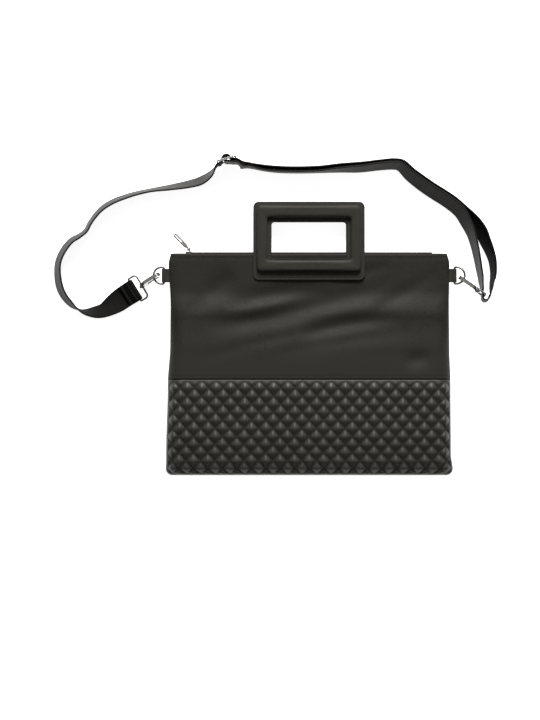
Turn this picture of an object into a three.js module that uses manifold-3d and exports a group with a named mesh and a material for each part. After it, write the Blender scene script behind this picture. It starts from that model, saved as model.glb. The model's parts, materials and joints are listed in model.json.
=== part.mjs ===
// Tallit bag of soft black leather, lying on its back: a flat zipped pouch with a quilted lower
// front, a padded cut-out handle on each side of the zip, and an adjustable strap clipped to
// D-rings in its side seams. Millimetres, +Z up, +Y towards the zip. The origin is the middle
// of the flat underside, on the surface that the bag lies on.

import * as THREE from 'three';
import { mergeVertices } from 'three/addons/utils/BufferGeometryUtils.js';
import Module from 'manifold-3d';

const wasm = await Module();
wasm.setup();

// Driving sizes of the pouch
const bagWidth = 350;
const bagHeight = 278.4;
const seamLevel = 12.3;
const wall = 1.6;
const clearance = 0.3;
const sideRoll = 18;
const bottomRoll = 20;
const cornerRadius = 8;
const bandBelowTop = 159.2;
const zipStandOff = 1.6;
const quiltHalfPitchX = 8.8;
const quiltHalfPitchY = 9.8;
const quiltPuff = 2.6;

// Driving sizes of the zip
const tapeThickness = 1;
const tapeDepth = 13;
const chainWidth = 4;
const chainThickness = 1.5;
const zipInset = 19;
const sliderLength = 9;
const sliderFromLeft = 23.5;
const sliderPlate = 1.2;
const pullLength = 26;
const pullWidth = 6.4;
const pullThickness = 1.4;
const pullSlotLength = 12;
const pullAzimuth = 134.4;
const pullRoll = 42;
const pullPinRadius = 0.7;

// Driving sizes of the handles
const handleWidth = 139;
const handleTall = 97.7;
const handleOffsetX = -1.4;
const handleOverlap = 35;
const handleCorner = 7;
const flangeSide = 4.2;
const flangeBottom = 9.8;
const padBar = 13.7;
const padTopBar = 16.5;
const padBottomBar = 15.4;
const innerFlange = 5;
const backingThickness = 1.6;
const padHeight = 5.4;
const padRound = 2.2;

// Driving sizes of the side hardware
const tabDrop = 29;
const tabWide = 17;
const tabReach = 5.6;
const tabLeather = 1.3;
const ringWire = 1.4;
const ringTall = 20.7;
const ringDeep = 13.2;
const ringCorner = 1.7;
const rightRingTilt = 20;
const stripWire = 1.2;
const stripRingDeep = 11.5;
const stripRingCorner = 1.6;
const collarRadius = 3.4;
const collarLength = 4.2;
const stemRadius = 1.6;
const stemHeadRadius = 2.9;
const stemHeadLength = 1.3;
const hookLength = 28;
const hookHalf = 7.2;
const hookBar = 3;
const hookThickness = 4.6;
const gateThickness = 2.6;
const gatePinRadius = 0.8;
const wireUnderSpine = 1.5;

// Driving sizes of the strap and its slide
const strapWidth = 28;
const strapThickness = 2.2;
const strapReach = 150;
const strandGap = 1.1;
const foldBack = 22;
const slideLength = 24;
const slideWire = 1.2;
const slideAzimuth = 15.6;

// Sizes that follow from the driving ones
const halfWidth = bagWidth / 2;
const halfHeight = bagHeight / 2;
const panelTop = halfHeight - zipStandOff;
const bandLine = halfHeight - bandBelowTop;
const mouthRise = 3 + wall;
const frontTop = seamLevel + mouthRise;
const ringLevel = halfHeight - tabDrop;
const stripInside = strapWidth + 1.4;
const stripRingWide = stripInside + 2 * stripWire;

const leather = { color: 0x35322d, roughness: 0.55, metalness: 0 };
const webbing = { color: 0x2a2825, roughness: 0.7, metalness: 0 };
const nickel = { color: 0xc4c0b8, roughness: 0.25, metalness: 1 };
const gunmetal = { color: 0x54524e, roughness: 0.35, metalness: 1 };

const bag = new THREE.Group();

function addPiece(parent, name, geometry, finish) {
  const mesh = new THREE.Mesh(geometry, new THREE.MeshStandardMaterial(finish));
  mesh.name = name;
  parent.add(mesh);
  return mesh;
}

function radians(degrees) {
  return THREE.MathUtils.degToRad(degrees);
}

// Value of a two-column table at a place, eased between its rows.
function tableAt(table, place, column) {
  const last = table.length - 1;
  if (place >= table[0].y) return table[0][column];
  if (place <= table[last].y) return table[last][column];
  const row = table.findIndex((entry) => entry.y < place);
  const high = table[row - 1];
  const low = table[row];
  const share = (place - low.y) / (high.y - low.y);
  const eased = share * share * (3 - 2 * share);
  return low[column] + (high[column] - low[column]) * eased;
}

// Booleans of closed meshes
function solidOf(geometry) {
  const plain = geometry.clone();
  plain.deleteAttribute('normal');
  plain.deleteAttribute('uv');
  const merged = mergeVertices(plain, 1e-4);
  return new wasm.Manifold(new wasm.Mesh({
    numProp: 3,
    vertProperties: new Float32Array(merged.attributes.position.array),
    triVerts: new Uint32Array(merged.index.array),
  }));
}

function geometryOf(solid) {
  const mesh = solid.getMesh();
  const geometry = new THREE.BufferGeometry();
  geometry.setAttribute('position', new THREE.BufferAttribute(new Float32Array(mesh.vertProperties), 3));
  geometry.setIndex(new THREE.BufferAttribute(new Uint32Array(mesh.triVerts), 1));
  return geometry;
}

// A closed shell between an upper and a lower grid of points: point(i, j, upper) gives a corner.
function shellBetween(columns, rows, point, splitOdd) {
  const positions = [];
  const indices = [];
  const stride = rows + 1;
  const layer = (columns + 1) * stride;
  for (const upper of [false, true]) {
    for (let i = 0; i <= columns; i += 1) {
      for (let j = 0; j <= rows; j += 1) {
        positions.push(...point(i, j, upper));
      }
    }
  }
  const quad = (a, b, c, d) => indices.push(a, b, c, a, c, d);
  for (let i = 0; i < columns; i += 1) {
    for (let j = 0; j < rows; j += 1) {
      const a = i * stride + j;
      const b = a + stride;
      const other = splitOdd && (i + j) % 2 === 1;
      if (other) {
        quad(layer + b, layer + b + 1, layer + a + 1, layer + a);
        quad(a + 1, b + 1, b, a);
      } else {
        quad(layer + a, layer + b, layer + b + 1, layer + a + 1);
        quad(a, a + 1, b + 1, b);
      }
    }
  }
  const rim = (a, b) => quad(a, b, layer + b, layer + a);
  for (let i = 0; i < columns; i += 1) {
    rim(i * stride, (i + 1) * stride);
    rim((i + 1) * stride + rows, i * stride + rows);
  }
  for (let j = 0; j < rows; j += 1) {
    rim(columns * stride + j, columns * stride + j + 1);
    rim(j + 1, j);
  }
  const geometry = new THREE.BufferGeometry();
  geometry.setAttribute('position', new THREE.Float32BufferAttribute(positions, 3));
  geometry.setIndex(indices);
  return geometry;
}

// A wire of round section along a closed flat outline in the XY plane.
function closedWire(outline, radius, sides) {
  const positions = [];
  const indices = [];
  const count = outline.length;
  for (let i = 0; i < count; i += 1) {
    const before = outline[(i + count - 1) % count];
    const here = outline[i];
    const after = outline[(i + 1) % count];
    const into = here.clone().sub(before).normalize();
    const out = after.clone().sub(here).normalize();
    const side = new THREE.Vector2(into.y + out.y, -into.x - out.x).normalize();
    const stretch = 1 / Math.max(side.dot(new THREE.Vector2(into.y, -into.x)), 0.5);
    for (let k = 0; k < sides; k += 1) {
      const angle = 2 * Math.PI * k / sides;
      const across = radius * Math.cos(angle) * stretch;
      positions.push(here.x + side.x * across, here.y + side.y * across, radius * Math.sin(angle));
    }
  }
  for (let i = 0; i < count; i += 1) {
    for (let k = 0; k < sides; k += 1) {
      const a = i * sides + k;
      const b = i * sides + (k + 1) % sides;
      const c = ((i + 1) % count) * sides + (k + 1) % sides;
      const d = ((i + 1) % count) * sides + k;
      indices.push(a, c, b, a, d, c);
    }
  }
  const geometry = new THREE.BufferGeometry();
  geometry.setAttribute('position', new THREE.Float32BufferAttribute(positions, 3));
  geometry.setIndex(indices);
  return geometry;
}

function arcPoints(x, y, radius, from, to, steps) {
  return Array.from({ length: steps + 1 }, (_, i) => {
    const angle = radians(from + (to - from) * i / steps);
    return new THREE.Vector2(x + radius * Math.cos(angle), y + radius * Math.sin(angle));
  });
}

// A rectangle with round corners, anticlockwise, from its corner points.
function roundedRectangle(left, right, bottom, top, radius, steps) {
  return [
    ...arcPoints(right - radius, bottom + radius, radius, -90, 0, steps),
    ...arcPoints(right - radius, top - radius, radius, 0, 90, steps),
    ...arcPoints(left + radius, top - radius, radius, 90, 180, steps),
    ...arcPoints(left + radius, bottom + radius, radius, 180, 270, steps),
  ];
}

function alongX(radius, from, to, sides) {
  const geometry = new THREE.CylinderGeometry(radius, radius, to - from, sides);
  geometry.rotateZ(Math.PI / 2);
  geometry.translate((from + to) / 2, 0, 0);
  return geometry;
}

function alongZ(radius, from, to, sides) {
  const geometry = new THREE.CylinderGeometry(radius, radius, to - from, sides);
  geometry.rotateX(Math.PI / 2);
  geometry.translate(0, 0, (from + to) / 2);
  return geometry;
}

// Outline of the pouch as shares of half its width, from its top edge down. The right lower
// corner sticks out a little, as the soft corner does.
const outlineRows = [
  { y: 1, left: 0.994, right: 0.978 },
  { y: 0.9, left: 1.01, right: 0.996 },
  { y: 0.55, left: 0.996, right: 0.992 },
  { y: 0.18, left: 0.998, right: 0.994 },
  { y: -0.2, left: 1.016, right: 1.003 },
  { y: -0.8, left: 1.028, right: 1.006 },
  { y: -0.95, left: 1.03, right: 1.02 },
];

// Rise of the front and drop of the back from the seam, as shares of the lift and of the seam
// level, from the top edge down. Both sides are flat under the handles.
const frontLift = 12;
const frontRows = [
  { y: 1, rise: 0 },
  { y: 0.66, rise: 0 },
  { y: 0.42, rise: 0.52 },
  { y: 0.12, rise: 0.9 },
  { y: -0.15, rise: 1 },
  { y: -0.6, rise: 0.97 },
  { y: -0.9, rise: 0.82 },
];
const backRows = [
  { y: 1, drop: 0 },
  { y: 0.66, drop: 0 },
  { y: 0.36, drop: 1 },
];

// Folds of the plain upper panel: start and end as shares of the half width and half height,
// bend and width as shares of the half height, depth as a share of the panel's own height over
// the seam. A negative depth is a ridge.
const foldRows = [
  { x0: -0.75, y0: 0.34, x1: 0.66, y1: 0.76, bend: -0.05, width: 0.055, depth: 0.22 },
  { x0: -0.61, y0: 0.52, x1: 0.14, y1: 0.68, bend: 0.03, width: 0.05, depth: 0.15 },
  { x0: -0.64, y0: 0.42, x1: 0.0, y1: 0.6, bend: 0, width: 0.05, depth: -0.12 },
  { x0: -0.53, y0: 0.8, x1: -0.76, y1: 0.62, bend: 0, width: 0.06, depth: 0.14 },
  { x0: -0.1, y0: 0.25, x1: 0.66, y1: 0.42, bend: 0.03, width: 0.05, depth: 0.12 },
  { x0: 0.65, y0: 0.02, x1: 0.86, y1: 0.06, bend: 0, width: 0.06, depth: 0.12 },
];

function foldDepth(x, y) {
  let depth = 0;
  for (const fold of foldRows) {
    const start = new THREE.Vector2(fold.x0 * halfWidth, fold.y0 * halfHeight);
    const run = new THREE.Vector2(fold.x1 * halfWidth, fold.y1 * halfHeight).sub(start);
    const place = new THREE.Vector2(x, y).sub(start);
    const share = place.dot(run) / run.lengthSq();
    if (share < 0 || share > 1) continue;
    const bow = fold.bend * halfHeight * Math.sin(Math.PI * share);
    const off = (place.cross(run) / run.length() + bow) / (fold.width * halfHeight);
    depth += fold.depth * Math.sin(Math.PI * share) * Math.exp(-off * off);
  }
  return depth;
}

// Half width at a height, with the round bottom corners.
function edgeAt(y, side, inset) {
  const above = Math.min((y + halfHeight) / cornerRadius, 1);
  const corner = cornerRadius * (1 - Math.sqrt(Math.max(1 - (1 - above) ** 2, 0)));
  return tableAt(outlineRows, y / halfHeight, side) * halfWidth - corner - inset;
}

// Quarter ellipse from the seam: how far in and how far up, for a share of the way round.
function rollAt(distance, radius) {
  const round = radius * Math.PI / 2;
  if (distance >= round) return { inward: radius + distance - round, up: 1 };
  const angle = distance / radius;
  return { inward: radius * (1 - Math.cos(angle)), up: Math.sin(angle) };
}

// Places across a panel: x and the share of the full height, from the left seam to the right.
function acrossAt(share, y, inset) {
  const left = -edgeAt(y, 'left', inset);
  const right = edgeAt(y, 'right', inset);
  const radius = sideRoll - inset;
  const total = right - left + radius * (Math.PI - 2);
  const fromLeft = share * total;
  if (fromLeft < total / 2) {
    const roll = rollAt(fromLeft, radius);
    return { x: left + roll.inward, up: roll.up };
  }
  const roll = rollAt(total - fromLeft, radius);
  return { x: right - roll.inward, up: roll.up };
}

// Places down a panel from a line to the bottom seam.
function downAt(share, from, inset) {
  const radius = bottomRoll - inset;
  const total = from + halfHeight - inset + radius * (Math.PI / 2 - 1);
  const roll = rollAt(total * (1 - share), radius);
  return { y: -halfHeight + inset + roll.inward, up: roll.up };
}

function frontPoint(across, y, up, inset, extra) {
  const full = mouthRise + frontLift * tableAt(frontRows, y / halfHeight, 'rise');
  const lift = (full * (1 - foldDepth(across.x, y)) + extra - inset - clearance / 2) * across.up * up;
  return [across.x, y, seamLevel + clearance / 2 + Math.max(lift, 0)];
}

const panelColumns = 2 * Math.round((bagWidth + sideRoll * (Math.PI - 2)) / quiltHalfPitchX / 2);

function makeUpperPanel() {
  const rows = 15;
  const bottom = bandLine + clearance / 2;
  return shellBetween(panelColumns, rows, (i, j, upper) => {
    const inset = upper ? 0 : wall;
    const y = bottom + (panelTop - bottom) * j / rows;
    const across = acrossAt(i / panelColumns, y, inset);
    return frontPoint(across, y, 1, inset, 0);
  }, false);
}

// Diamond quilting: puffs between creases that run through every other lattice point.
function makeQuiltPanel() {
  const top = bandLine - clearance / 2;
  const arc = top + halfHeight + bottomRoll * (Math.PI / 2 - 1);
  const rows = Math.round(arc / quiltHalfPitchY);
  return shellBetween(panelColumns, rows, (i, j, upper) => {
    const inset = upper ? 0 : wall;
    const down = downAt(1 - j / rows, top, inset);
    const across = acrossAt(i / panelColumns, down.y, inset);
    const inner = i > 0 && i < panelColumns && j > 0 && j < rows;
    const puff = inner && upper && (i + j) % 2 === 1 ? quiltPuff : 0;
    return frontPoint(across, down.y, down.up, inset, puff);
  }, true);
}

function makeBackPanel() {
  const columns = 24;
  const rows = 15;
  return shellBetween(columns, rows, (i, j, upper) => {
    const inset = upper ? wall : 0;
    const down = downAt(1 - j / rows, panelTop, inset);
    const across = acrossAt(i / columns, down.y, inset);
    const deepest = seamLevel - mouthRise;
    const drop = mouthRise + deepest * tableAt(backRows, down.y / halfHeight, 'drop') - inset;
    const depth = Math.max((drop - clearance / 2) * across.up * down.up, 0);
    return [across.x, down.y, seamLevel - clearance / 2 - depth];
  }, false);
}

// Half of the zip tape: it lies against the inside of one panel and turns up over the mouth.
function makeTape(side) {
  const inside = mouthRise - wall - clearance;
  const left = -edgeAt(panelTop, 'left', 0) + zipInset;
  const right = edgeAt(panelTop, 'right', 0) - zipInset;
  const section = new THREE.Shape([
    [panelTop - tapeDepth, inside - tapeThickness],
    [panelTop - tapeThickness, inside - tapeThickness],
    [panelTop - tapeThickness, clearance / 2],
    [panelTop, clearance / 2],
    [panelTop, inside],
    [panelTop - tapeDepth, inside],
  ].map(([y, z]) => new THREE.Vector2(y, z)));
  const geometry = new THREE.ExtrudeGeometry(section, { depth: right - left, bevelEnabled: false });
  geometry.applyMatrix4(new THREE.Matrix4().makeBasis(
    new THREE.Vector3(0, 1, 0), new THREE.Vector3(0, 0, 1), new THREE.Vector3(1, 0, 0)));
  geometry.translate(left, 0, 0);
  if (side > 0) {
    geometry.translate(0, 0, seamLevel);
    return geometry;
  }
  geometry.rotateY(Math.PI);
  geometry.translate(left + right, 0, seamLevel);
  return geometry;
}

function box(x0, x1, y0, y1, z0, z1) {
  const geometry = new THREE.BoxGeometry(x1 - x0, y1 - y0, z1 - z0);
  geometry.translate((x0 + x1) / 2, (y0 + y1) / 2, (z0 + z1) / 2);
  return geometry;
}

function makeChain() {
  const left = -edgeAt(panelTop, 'left', 0) + zipInset;
  const right = edgeAt(panelTop, 'right', 0) - zipInset;
  const bottom = panelTop + clearance;
  return box(left, right, bottom, bottom + chainThickness,
    seamLevel - chainWidth / 2, seamLevel + chainWidth / 2);
}

// The slider's place, the pin of its pull, and its plates, from the chain that it runs on.
const sliderX = -halfWidth + sliderFromLeft;
const chainFace = panelTop + clearance + chainThickness;
const sliderFace = chainFace + clearance + sliderPlate;
const lugGap = 3.6;
const lugPlate = 1.1;
const pullPinHeight = 2.3;
const pullPin = new THREE.Vector3(sliderX, sliderFace + pullPinHeight, seamLevel);

function makeSlider() {
  const half = chainWidth / 2 + clearance + sliderPlate;
  const lugHalf = lugGap / 2 + lugPlate;
  const channel = solidOf(box(sliderX - sliderLength, sliderX + sliderLength,
    panelTop - 1, chainFace + clearance, seamLevel - half + sliderPlate, seamLevel + half - sliderPlate));
  const lugOutline = new THREE.Shape([
    new THREE.Vector2(2.4, -pullPinHeight - 0.4),
    ...arcPoints(0, 0, 1.7, 0, 180, 6),
    new THREE.Vector2(-2.4, -pullPinHeight - 0.4),
  ]);
  const lugs = new THREE.ExtrudeGeometry(lugOutline, { depth: 2 * lugHalf, bevelEnabled: false });
  lugs.translate(pullPin.x, pullPin.y, seamLevel - lugHalf);
  const between = box(pullPin.x - 4, pullPin.x + 4, sliderFace, pullPin.y + 4,
    seamLevel - lugGap / 2, seamLevel + lugGap / 2);
  const pin = alongZ(pullPinRadius, -lugGap, lugGap, 8);
  pin.scale(1, 1, (lugGap / 2 + 0.2) / lugGap);
  pin.translate(pullPin.x, pullPin.y, seamLevel);
  const body = solidOf(box(sliderX - sliderLength / 2, sliderX + sliderLength / 2,
    panelTop + clearance, sliderFace, seamLevel - half, seamLevel + half));
  return geometryOf(body.subtract(channel).add(solidOf(lugs).subtract(solidOf(between))).add(solidOf(pin)));
}

// The slotted pull: a knuckle on the slider's pin, and a flat bar that lies turned about its
// length. Its own X axis runs from the pin to the far end.
function makePull() {
  const knuckleHeight = lugGap - 2 * clearance;
  const start = 2.6;
  const radius = pullWidth / 2;
  const outline = new THREE.Shape([
    new THREE.Vector2(start, 1.2),
    new THREE.Vector2(start, -1.2),
    new THREE.Vector2(start + 4, -radius),
    ...arcPoints(pullLength - radius, 0, radius, -90, 90, 6),
    new THREE.Vector2(start + 4, radius),
  ]);
  const slotHalf = radius - 1.7;
  const slotEnd = pullLength - radius;
  outline.holes.push(new THREE.Path([
    ...arcPoints(slotEnd, 0, slotHalf, -90, 90, 4),
    ...arcPoints(slotEnd - pullSlotLength + 2 * slotHalf, 0, slotHalf, 90, 270, 4),
  ]));
  const plate = new THREE.ExtrudeGeometry(outline, { depth: pullThickness, bevelEnabled: false });
  plate.translate(0, 0, -pullThickness / 2);
  plate.rotateX(radians(90 - pullRoll));
  const knuckle = alongZ(pullPinRadius + clearance + 0.9, -knuckleHeight / 2, knuckleHeight / 2, 12);
  const bore = alongZ(pullPinRadius + clearance, -knuckleHeight, knuckleHeight, 10);
  const neck = box(0.8, start + 1.4, -0.8, 0.8, -1.1, 1.1);
  return geometryOf(solidOf(knuckle).add(solidOf(neck)).subtract(solidOf(bore)).add(solidOf(plate)));
}

// Handle: a thin stitched backing with a window, and the padded frame on it. Both follow the
// same outline, given in the bag's own X and Y.
const handleLeft = handleOffsetX - handleWidth / 2;
const handleRight = handleOffsetX + handleWidth / 2;
const handleBottom = halfHeight - handleOverlap;
const handleTop = handleBottom + handleTall;
const padFrame = {
  left: handleLeft + flangeSide,
  right: handleRight - flangeSide,
  bottom: handleBottom + flangeBottom,
  top: handleTop - flangeSide,
};
const windowFrame = {
  left: padFrame.left + padBar + innerFlange,
  right: padFrame.right - padBar - innerFlange,
  bottom: padFrame.bottom + padBottomBar - clearance,
  top: padFrame.top - padTopBar - innerFlange + 1,
};

function framePlate(outer, inner, outerCorner, innerCorner, options) {
  const shape = new THREE.Shape(
    roundedRectangle(outer.left, outer.right, outer.bottom, outer.top, outerCorner, 3));
  shape.holes.push(new THREE.Path(
    roundedRectangle(inner.left, inner.right, inner.bottom, inner.top, innerCorner, 3)));
  return new THREE.ExtrudeGeometry(shape, options);
}

function makeBacking() {
  const outer = { left: handleLeft, right: handleRight, bottom: handleBottom, top: handleTop };
  return framePlate(outer, windowFrame, handleCorner, handleCorner - 2,
    { depth: backingThickness, bevelEnabled: false });
}

// The pad's section is a low arch: a straight side and a rounded shoulder.
function makePad() {
  const inner = {
    left: padFrame.left + padBar - padRound,
    right: padFrame.right - padBar + padRound,
    bottom: padFrame.bottom + padBottomBar - padRound,
    top: padFrame.top - padTopBar + padRound,
  };
  const outer = {
    left: padFrame.left + padRound,
    right: padFrame.right - padRound,
    bottom: padFrame.bottom + padRound,
    top: padFrame.top - padRound,
  };
  const sharp = handleCorner - padRound;
  const options = {
    depth: padHeight - 2 * padRound,
    bevelEnabled: true,
    bevelThickness: padRound,
    bevelSize: padRound,
    bevelSegments: 2,
  };
  const innerHole = {
    left: inner.left,
    right: inner.right,
    bottom: inner.bottom,
    top: inner.top,
  };
  const geometry = framePlate(outer, innerHole, sharp, sharp, options);
  geometry.translate(0, 0, padRound);
  return geometry;
}

// A leather tab: a strip folded round the straight bar of a D-ring and sewn flat at its root.
// Its own X axis points away from the bag, with the bar at the origin.
function makeTab() {
  const eye = ringWire + clearance;
  const outer = eye + tabLeather;
  const root = tabLeather + clearance / 2;
  const shape = new THREE.Shape([
    new THREE.Vector2(-tabReach, root),
    new THREE.Vector2(-tabReach, -root),
    ...arcPoints(0, 0, outer, -110, 110, 10),
  ]);
  shape.holes.push(new THREE.Path(arcPoints(0, 0, eye, 0, 330, 11)));
  const geometry = new THREE.ExtrudeGeometry(shape, { depth: tabWide, bevelEnabled: false });
  geometry.rotateX(Math.PI / 2);
  geometry.translate(0, tabWide / 2, 0);
  return geometry;
}

// The D-ring's wire: its straight bar on the Y axis and its bow towards +X.
const bowRadius = ringTall / 2;
const bowCentre = ringDeep - bowRadius;

function makeDRing() {
  const corner = bowRadius - ringCorner;
  const outline = [
    ...arcPoints(ringCorner, -corner, ringCorner, 180, 270, 2),
    ...arcPoints(bowCentre, 0, bowRadius, -90, 90, 12),
    ...arcPoints(ringCorner, corner, ringCorner, 90, 180, 2),
  ];
  return closedWire(outline, ringWire, 8);
}

// The wire loop that the strap folds round. Its near bar is on the Y axis with a collar for the
// hook's stem, its far bar at -X.
function makeStrapRing() {
  const half = stripRingWide / 2;
  const wire = closedWire(
    roundedRectangle(-stripRingDeep, 0, -half, half, stripRingCorner, 2), stripWire, 8);
  const collar = alongX(collarRadius, -collarLength / 2, collarLength / 2, 12);
  const bore = alongX(stemRadius + clearance, -collarLength, collarLength, 12);
  return geometryOf(solidOf(wire).add(solidOf(collar)).subtract(solidOf(bore)));
}

// Trigger hook along its own X axis, from the stem in the collar to the nose. The solid spine
// is at +Y and the gate closes the mouth at -Y.
const baseStart = collarLength / 2 + clearance;
const gatePivotX = baseStart + 3.4;
const gatePivotY = -(hookHalf - 2.2);
const inner = hookHalf - hookBar;
const noseCentre = hookLength - hookHalf;
const mouthEnd = noseCentre - 0.9;

function makeHook() {
  const shape = new THREE.Shape([
    new THREE.Vector2(baseStart, -3.4),
    ...arcPoints(gatePivotX, gatePivotY, 2.3, 190, 340, 5),
    new THREE.Vector2(baseStart + 5.8, -1.6),
    new THREE.Vector2(baseStart + 5.8, inner - 1.4),
    new THREE.Vector2(baseStart + 7.2, inner),
    ...arcPoints(noseCentre, 0, inner, 90, -90, 8),
    new THREE.Vector2(mouthEnd, -inner),
    new THREE.Vector2(mouthEnd, -hookHalf),
    ...arcPoints(noseCentre, 0, hookHalf, -90, 90, 10),
    new THREE.Vector2(baseStart + 3, hookHalf),
    new THREE.Vector2(baseStart, 4.2),
  ]);
  const plate = new THREE.ExtrudeGeometry(shape, { depth: hookThickness, bevelEnabled: false });
  plate.translate(0, 0, -hookThickness / 2);
  const slotHalf = gateThickness / 2 + clearance;
  const slot = alongZ(3.1, -slotHalf, slotHalf, 14);
  slot.translate(gatePivotX, gatePivotY, 0);
  const pin = alongZ(gatePinRadius, -slotHalf - 0.2, slotHalf + 0.2, 8);
  pin.translate(gatePivotX, gatePivotY, 0);
  const stemEnd = -collarLength / 2 - clearance;
  const stem = alongX(stemRadius, stemEnd - 0.2, baseStart + 0.6, 12);
  const head = alongX(stemHeadRadius, stemEnd - stemHeadLength, stemEnd, 12);
  return geometryOf(solidOf(plate).subtract(solidOf(slot)).add(solidOf(pin))
    .add(solidOf(stem)).add(solidOf(head)));
}

// The gate, from its knuckle on the pin to the nose's tip. Its origin is the pin.
function makeGate() {
  const reach = mouthEnd - clearance - gatePivotX;
  const top = -inner - gatePivotY;
  const bottom = -hookHalf - gatePivotY + 0.5;
  const shape = new THREE.Shape([
    new THREE.Vector2(reach, bottom),
    new THREE.Vector2(reach, top),
    ...arcPoints(0, 0, 1.9, 30, 240, 8),
    new THREE.Vector2(3.4, bottom - 0.9),
    new THREE.Vector2(6.2, bottom),
  ]);
  const bar = new THREE.ExtrudeGeometry(shape, { depth: gateThickness, bevelEnabled: false });
  bar.translate(0, 0, -gateThickness / 2);
  const bore = alongZ(gatePinRadius + clearance, -gateThickness, gateThickness, 10);
  return geometryOf(solidOf(bar).subtract(solidOf(bore)));
}

// The three-bar slide, its bars across the strap and its length along X.
function makeSlide() {
  const half = slideLength / 2;
  const tall = stripRingWide / 2;
  const frame = closedWire(roundedRectangle(-half, half, -tall, tall, 2.2, 2), slideWire, 8);
  const bar = new THREE.CylinderGeometry(slideWire, slideWire, 2 * tall, 8);
  return geometryOf(solidOf(frame).add(solidOf(bar)));
}

// Side hardware of one side. The clip stands between the D-ring's bow and the fold of the strap:
// crossing is the angle on the bow where the hook hangs, azimuth and roll turn the clip.
const sides = [
  {
    name: 'left', outward: -1, bar: -6.1, crossing: 16, seat: 18.5, azimuth: 31.5,
    ringTilt: 0, ringTurn: 0, foldLevel: stripWire + clearance + strapThickness, hookRoll: 80,
  },
  {
    name: 'right', outward: 1, bar: 5.2, crossing: -35, seat: 21.4, azimuth: 144.4,
    ringTilt: rightRingTilt, ringTurn: 90, foldLevel: 18.2, hookRoll: 0,
  },
];

// Where the hook crosses the bow of the D-ring, and the clip's frame: X from the fold to the
// nose, Y along the ring's bars. The pitch brings the hook down or up to the wire.
function clipFrame(side) {
  const edge = side.outward < 0 ? -edgeAt(ringLevel, 'left', 0) : edgeAt(ringLevel, 'right', 0);
  const barX = edge + side.outward * (tabReach + 2 * clearance);
  const angle = radians(side.crossing);
  const reach = bowCentre + bowRadius * Math.cos(angle);
  const tilt = radians(side.ringTilt);
  const crossing = new THREE.Vector3(
    barX + side.outward * reach * Math.cos(tilt),
    ringLevel - bowRadius * Math.sin(Math.abs(angle)),
    seamLevel + reach * Math.sin(tilt) - wireUnderSpine);
  const length = stripRingDeep + side.seat;
  const rise = crossing.z - side.foldLevel;
  const flat = Math.sqrt(length * length - rise * rise);
  const azimuth = radians(side.azimuth);
  const axis = new THREE.Vector3(
    Math.cos(azimuth) * flat / length, Math.sin(azimuth) * flat / length, rise / length);
  const across = new THREE.Vector3(0, 0, 1).cross(axis).normalize();
  const upward = axis.clone().cross(across);
  const turn = radians(side.ringTurn);
  const long = across.clone().multiplyScalar(Math.cos(turn)).addScaledVector(upward, Math.sin(turn));
  const fold = crossing.clone().addScaledVector(axis, -length);
  return { barX, axis, long, fold, swivel: fold.clone().addScaledVector(axis, stripRingDeep) };
}

function addSide(side) {
  const frame = clipFrame(side);
  const facing = side.outward < 0 ? Math.PI : 0;
  const hinge = new THREE.Group();
  hinge.position.set(frame.barX, ringLevel, seamLevel);
  hinge.rotation.z = facing;
  bag.add(hinge);
  addPiece(hinge, `${side.name}_tab`, makeTab(), leather);
  const ring = addPiece(hinge, `${side.name}_d_ring`, makeDRing(), gunmetal);
  ring.rotation.y = -radians(side.ringTilt);

  const clip = new THREE.Group();
  const third = frame.axis.clone().cross(frame.long);
  clip.quaternion.setFromRotationMatrix(new THREE.Matrix4().makeBasis(frame.axis, frame.long, third));
  clip.position.copy(frame.swivel);
  bag.add(clip);
  addPiece(clip, `${side.name}_strap_ring`, makeStrapRing(), gunmetal);
  const swing = new THREE.Group();
  swing.rotation.x = radians(side.hookRoll);
  clip.add(swing);
  addPiece(swing, `${side.name}_hook`, makeHook(), nickel);
  const gate = addPiece(swing, `${side.name}_gate`, makeGate(), nickel);
  gate.position.set(gatePivotX, gatePivotY, 0);
}

// Strap route seen from above, as shares: x of half the bag's width, y of the strap's reach
// above the D-rings. Lean is the angle between the strap's width and the ground, in degrees,
// past 90 where its top edge hangs towards the bag.
const loopRoute = [
  { x: -1.386, y: -0.243, lean: 20 },
  { x: -1.461, y: -0.284, lean: 46 },
  { x: -1.536, y: -0.305, lean: 58 },
  { x: -1.596, y: -0.303, lean: 74 },
  { x: -1.65, y: -0.282, lean: 90 },
  { x: -1.703, y: -0.24, lean: 101 },
  { x: -1.754, y: -0.174, lean: 104 },
  { x: -1.789, y: -0.085, lean: 106 },
  { x: -1.803, y: 0.047, lean: 105 },
  { x: -1.793, y: 0.13, lean: 105 },
  { x: -1.757, y: 0.217, lean: 105 },
  { x: -1.704, y: 0.29, lean: 104 },
  { x: -1.646, y: 0.33, lean: 102 },
  { x: -1.602, y: 0.372, lean: 102 },
  { x: -1.568, y: 0.443, lean: 102 },
  { x: -1.5, y: 0.543, lean: 102 },
  { x: -1.421, y: 0.607, lean: 102 },
  { x: -1.286, y: 0.668, lean: 100 },
  { x: -1.143, y: 0.708, lean: 96 },
  { x: -1, y: 0.735, lean: 101 },
  { x: -0.857, y: 0.772, lean: 106 },
  { x: -0.76, y: 0.818, lean: 104 },
  { x: -0.712, y: 0.862, lean: 99 },
];
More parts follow.
